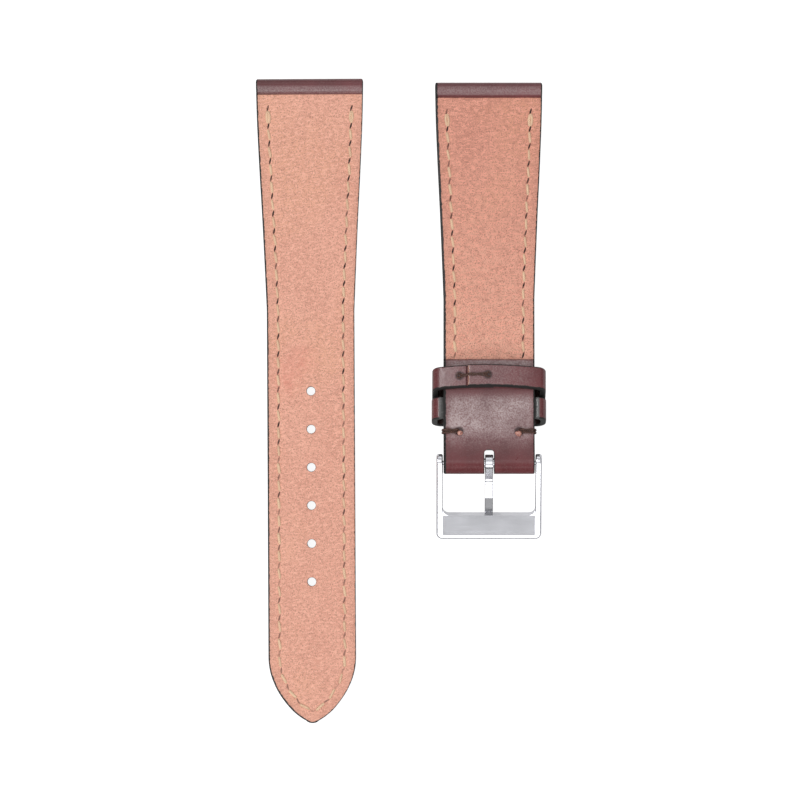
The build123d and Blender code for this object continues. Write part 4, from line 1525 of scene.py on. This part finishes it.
def make_materials(look):
    """Every finish of the strap by name."""
    long_tones = look.lining_colour, look.lining_dark
    short_tones = look.short_lining_colour, look.short_lining_dark
    return {
        "lining": lining_leather(look, "long lining leather", *long_tones, LINING_FLUSHES, None),
        "short_lining": lining_leather(look, "short lining leather", *short_tones, None, PALER_LINING),
        "front": front_leather(look, "burgundy front leather", True),
        "keeper": front_leather(look, "burgundy keeper leather", False),
        "paint": edge_paint(look),
        "thread": twisted_linen(look),
        "tack": tack_thread(look),
        "bead": melted_thread(),
        "steel": polished_steel(look, "buckle steel", 2600, 0.05),
        "tongue": polished_steel(look, "tongue steel", 2600, 0.1, TONGUE_GREY_REFLECTIONS),
        "bar": polished_steel(look, "spring bar steel", 5200),
    }


# Sizes and colours that a user would change


def colour_property(name, description, default):
    return bpy.props.FloatVectorProperty(
        name=name, description=description, default=default, subtype="COLOR", size=3, min=0, max=1
    )


def length_property(name, description, default):
    return bpy.props.FloatProperty(name=name, description=description, default=default, unit="LENGTH")


class StrapLook(bpy.types.PropertyGroup):
    """Looks of the strap."""

    lining_colour: colour_property("Lining", "Light tone of the long lining", (0.9, 0.46, 0.34))
    lining_dark: colour_property("Lining, dark", "Dark tone of the long lining", (0.8, 0.38, 0.275))
    short_lining_colour: colour_property("Short lining", "Its light tone", (0.8, 0.37, 0.27))
    short_lining_dark: colour_property("Short lining, dark", "Its dark tone", (0.66, 0.28, 0.205))
    front_colour: colour_property("Front leather", "Burgundy of the front leather", (0.15, 0.036, 0.04))
    # Colour of the painted sheen on the flap, the keepers and the roll
    painted_sheen_colour: colour_property("Painted sheen", "Painted sheen on the flap, the keepers and the roll", (0.5, 0.39, 0.385))
    paint_colour: colour_property("Edge paint", "Paint of the cut edges", (0.026, 0.025, 0.024))
    thread_colour: colour_property("Seam thread", "Waxed linen of the seams", (1.0, 0.66, 0.44))
    tack_colour: colour_property("Tack thread", "Brown thread of the tacks", (0.055, 0.02, 0.014))
    steel_colour: colour_property("Steel", "Colour of the buckle's reflections", (0.925, 0.93, 0.975))
    edge_rounding: length_property("Edge rounding", "Radius of the rounded leather edges", 0.0003)
    paint_width: length_property("Paint width", "How far the edge paint wraps on to a face", 0.00022)
    thread_thickness: length_property("Seam thread", "Thickness of the seam thread", 0.00052)
    tack_thickness: length_property("Tack thread", "Thickness of a pair of tack threads", 0.00056)


MATERIALS = {}


class STRAP_OT_finishes(bpy.types.Operator):
    """Make the leathers, threads, edge paint and steel"""

    bl_idname = "strap.finishes"
    bl_label = "Finishes"

    def execute(self, context):
        MATERIALS.update(make_materials(context.scene.strap_look))
        return {"FINISHED"}


class STRAP_OT_long_half(bpy.types.Operator):
    """Make the front leather and the lining of the long half"""

    bl_idname = "strap.long_half"
    bl_label = "Long half"

    def execute(self, context):
        make_long_leather(context.scene.strap_look, MATERIALS)
        give_material("long_interlining", MATERIALS["paint"])
        return {"FINISHED"}


class STRAP_OT_short_half(bpy.types.Operator):
    """Make the folded front leather and the lining of the short half"""

    bl_idname = "strap.short_half"
    bl_label = "Short half"

    def execute(self, context):
        make_short_leather(context.scene.strap_look, MATERIALS)
        give_material("short_interlining", MATERIALS["paint"])
        return {"FINISHED"}


class STRAP_OT_stitches(bpy.types.Operator):
    """Sew both halves, stitch by stitch"""

    bl_idname = "strap.stitches"
    bl_label = "Stitches"

    def execute(self, context):
        make_stitches(context.scene.strap_look, MATERIALS)
        return {"FINISHED"}


class STRAP_OT_keepers(bpy.types.Operator):
    """Make the sewn-in keeper and the sliding keeper"""

    bl_idname = "strap.keepers"
    bl_label = "Keepers"

    def execute(self, context):
        look = context.scene.strap_look
        make_fixed_keeper(look, MATERIALS)
        make_free_keeper(look, MATERIALS)
        return {"FINISHED"}


class STRAP_OT_tacks(bpy.types.Operator):
    """Tie the fold and the sliding keeper with their tack threads"""

    bl_idname = "strap.tacks"
    bl_label = "Tack threads"

    def execute(self, context):
        look = context.scene.strap_look
        make_fold_tacks(look, MATERIALS)
        make_keeper_tack(look, MATERIALS)
        return {"FINISHED"}


class STRAP_OT_buckle(bpy.types.Operator):
    """Finish the buckle, its tongue and its spring bar"""

    bl_idname = "strap.buckle"
    bl_label = "Buckle"

    def execute(self, context):
        give_material("buckle_frame", MATERIALS["steel"])
        give_material("buckle_tongue", MATERIALS["tongue"])
        for name in ("bar_tube", "bar_pivot_left", "bar_pivot_right"):
            give_material(name, MATERIALS["bar"])
        make_spring(MATERIALS)
        return {"FINISHED"}


def give_material(name, material):
    """Put a finish in every material slot of a CAD node."""
    piece = frame["nodes"][name]
    for slot in piece.material_slots:
        slot.material = material


# Stage

CAMERA_LENS = 290
CAMERA_DISTANCE = 1.2
CAMERA_RISE = math.radians(89)
CAMERA_AIM = (-0.00015, 0.0001, 0.002)
# Height in the sky as a sine, and how bright it is there
SKY_LEVELS = ((0.35, 0.2), (0.6, 0.6), (0.76, 0.6), (0.8, 0.35), (0.86, 0.38), (0.9, 0.6), (0.95, 0.7))


def area_light(name, place, width, depth, power):
    """A soft rectangular lamp that looks at the middle of the strap."""
    lamp = bpy.data.lights.new(name, "AREA")
    lamp.shape = "RECTANGLE"
    lamp.size = width
    lamp.size_y = depth
    lamp.energy = power
    holder = bpy.data.objects.new(name, lamp)
    holder.location = place
    holder.rotation_euler = (Vector() - Vector(place)).to_track_quat("-Z", "Y").to_euler()
    bpy.context.collection.objects.link(holder)


def make_floor():
    """White floor that keeps a faint shadow of the strap."""
    bpy.ops.mesh.primitive_plane_add(size=6)
    floor = bpy.context.object
    floor.name = "floor"
    finish = Finish("floor")
    tree = finish.tree
    finish.plug(base_color=(0.36, 0.36, 0.36, 1), roughness=0.9, specular_ior_level=0.0)
    rays = node(tree, "LightPath").outputs
    seen = finish.math("MAXIMUM", rays["Is Camera Ray"], finish.times(rays["Is Glossy Ray"], 0.4))
    seen = finish.math("MAXIMUM", seen, rays["Is Transmission Ray"])
    grain = finish.span(finish.noise(3), 0.0, 1.0, 0.9, 0.92)
    glow = node(tree, "Emission", {"Strength": finish.times(seen, grain)}).outputs[0]
    both = node(tree, "AddShader", {0: finish.shader.outputs[0], 1: glow}).outputs[0]
    tree.links.new(both, tree.nodes["Material Output"].inputs["Surface"])
    floor.data.materials.append(finish.material)


def make_sky():
    """Studio light that is dimmer overhead and near the horizon, and white where it is seen."""
    world = bpy.data.worlds.new("studio")
    bpy.context.scene.world = world
    world.use_nodes = True
    tree = world.node_tree
    up = node(tree, "SeparateXYZ", {0: node(tree, "TexCoord").outputs["Generated"]}).outputs["Z"]
    level = node(tree, "ValToRGB", {"Fac": up})
    stops = level.color_ramp.elements
    stops[0].position, stops[0].color = 0.05, (0.05, 0.05, 0.05, 1)
    stops[1].position, stops[1].color = 1.0, (1.4, 1.4, 1.4, 1)
    for place, grey in SKY_LEVELS:
        stops.new(place).color = (grey, grey, grey * 1.01, 1)
    seen = node(tree, "LightPath").outputs["Is Camera Ray"]
    colour = node(tree, "Mix", {"Factor": seen}, data_type="RGBA")
    tree.links.new(level.outputs["Color"], colour.inputs[6])
    colour.inputs[7].default_value = (1, 1, 1, 1)
    tree.links.new(colour.outputs[2], tree.nodes["Background"].inputs["Color"])


def make_camera():
    """Camera of the photograph's view: from the south, nearly overhead, with a long lens."""
    camera = bpy.data.cameras.new("camera")
    camera.lens = CAMERA_LENS
    camera.clip_end = 20
    holder = bpy.data.objects.new("camera", camera)
    away = Vector((0, -math.cos(CAMERA_RISE), math.sin(CAMERA_RISE)))
    holder.location = Vector(CAMERA_AIM) + CAMERA_DISTANCE * away
    holder.rotation_euler = (math.pi / 2 - CAMERA_RISE, 0, 0)
    bpy.context.collection.objects.link(holder)
    bpy.context.scene.camera = holder


class STRAP_OT_stage(bpy.types.Operator):
    """Set up the floor, the soft light and the camera"""

    bl_idname = "strap.stage"
    bl_label = "Floor, light and camera"

    def execute(self, context):
        make_floor()
        make_sky()
        area_light("south softbox", (0, -0.88, 0.83), 1.5, 0.34, 3.6)
        area_light("left softbox", (-0.6, 0, 1.04), 1.1, 0.08, 4.6)
        area_light("north softbox", (0, 1.1, 0.5), 1.2, 0.4, 1.0)
        make_camera()
        context.scene.view_settings.view_transform = "Standard"
        return {"FINISHED"}


OPERATORS = (
    STRAP_OT_finishes,
    STRAP_OT_long_half,
    STRAP_OT_short_half,
    STRAP_OT_stitches,
    STRAP_OT_keepers,
    STRAP_OT_tacks,
    STRAP_OT_buckle,
    STRAP_OT_stage,
)


class STRAP_PT_panel(bpy.types.Panel):
    """Looks of the strap, and its pieces in their order"""

    bl_idname = "STRAP_PT_panel"
    bl_label = "Leather watch strap"
    bl_space_type = "VIEW_3D"
    bl_region_type = "UI"
    bl_category = "Strap"

    def draw(self, context):
        look = context.scene.strap_look
        for name in StrapLook.__annotations__:
            self.layout.prop(look, name)
        for operator in OPERATORS:
            self.layout.operator(operator.bl_idname)


CLASSES = (StrapLook, *OPERATORS, STRAP_PT_panel)


def register():
    """Make the strap's properties, operators and panel known."""
    for entry in CLASSES:
        bpy.utils.register_class(entry)
    bpy.types.Scene.strap_look = bpy.props.PointerProperty(type=StrapLook)


def unregister():
    """Take back what register did."""
    del bpy.types.Scene.strap_look
    for entry in reversed(CLASSES):
        bpy.utils.unregister_class(entry)


def main():
    """Build the strap and its stage."""
    register()
    bpy.ops.strap.finishes()
    bpy.ops.strap.long_half()
    bpy.ops.strap.short_half()
    bpy.ops.strap.stitches()
    bpy.ops.strap.keepers()
    bpy.ops.strap.tacks()
    bpy.ops.strap.buckle()
    bpy.ops.strap.stage()


if __name__ == "__main__":
    main()
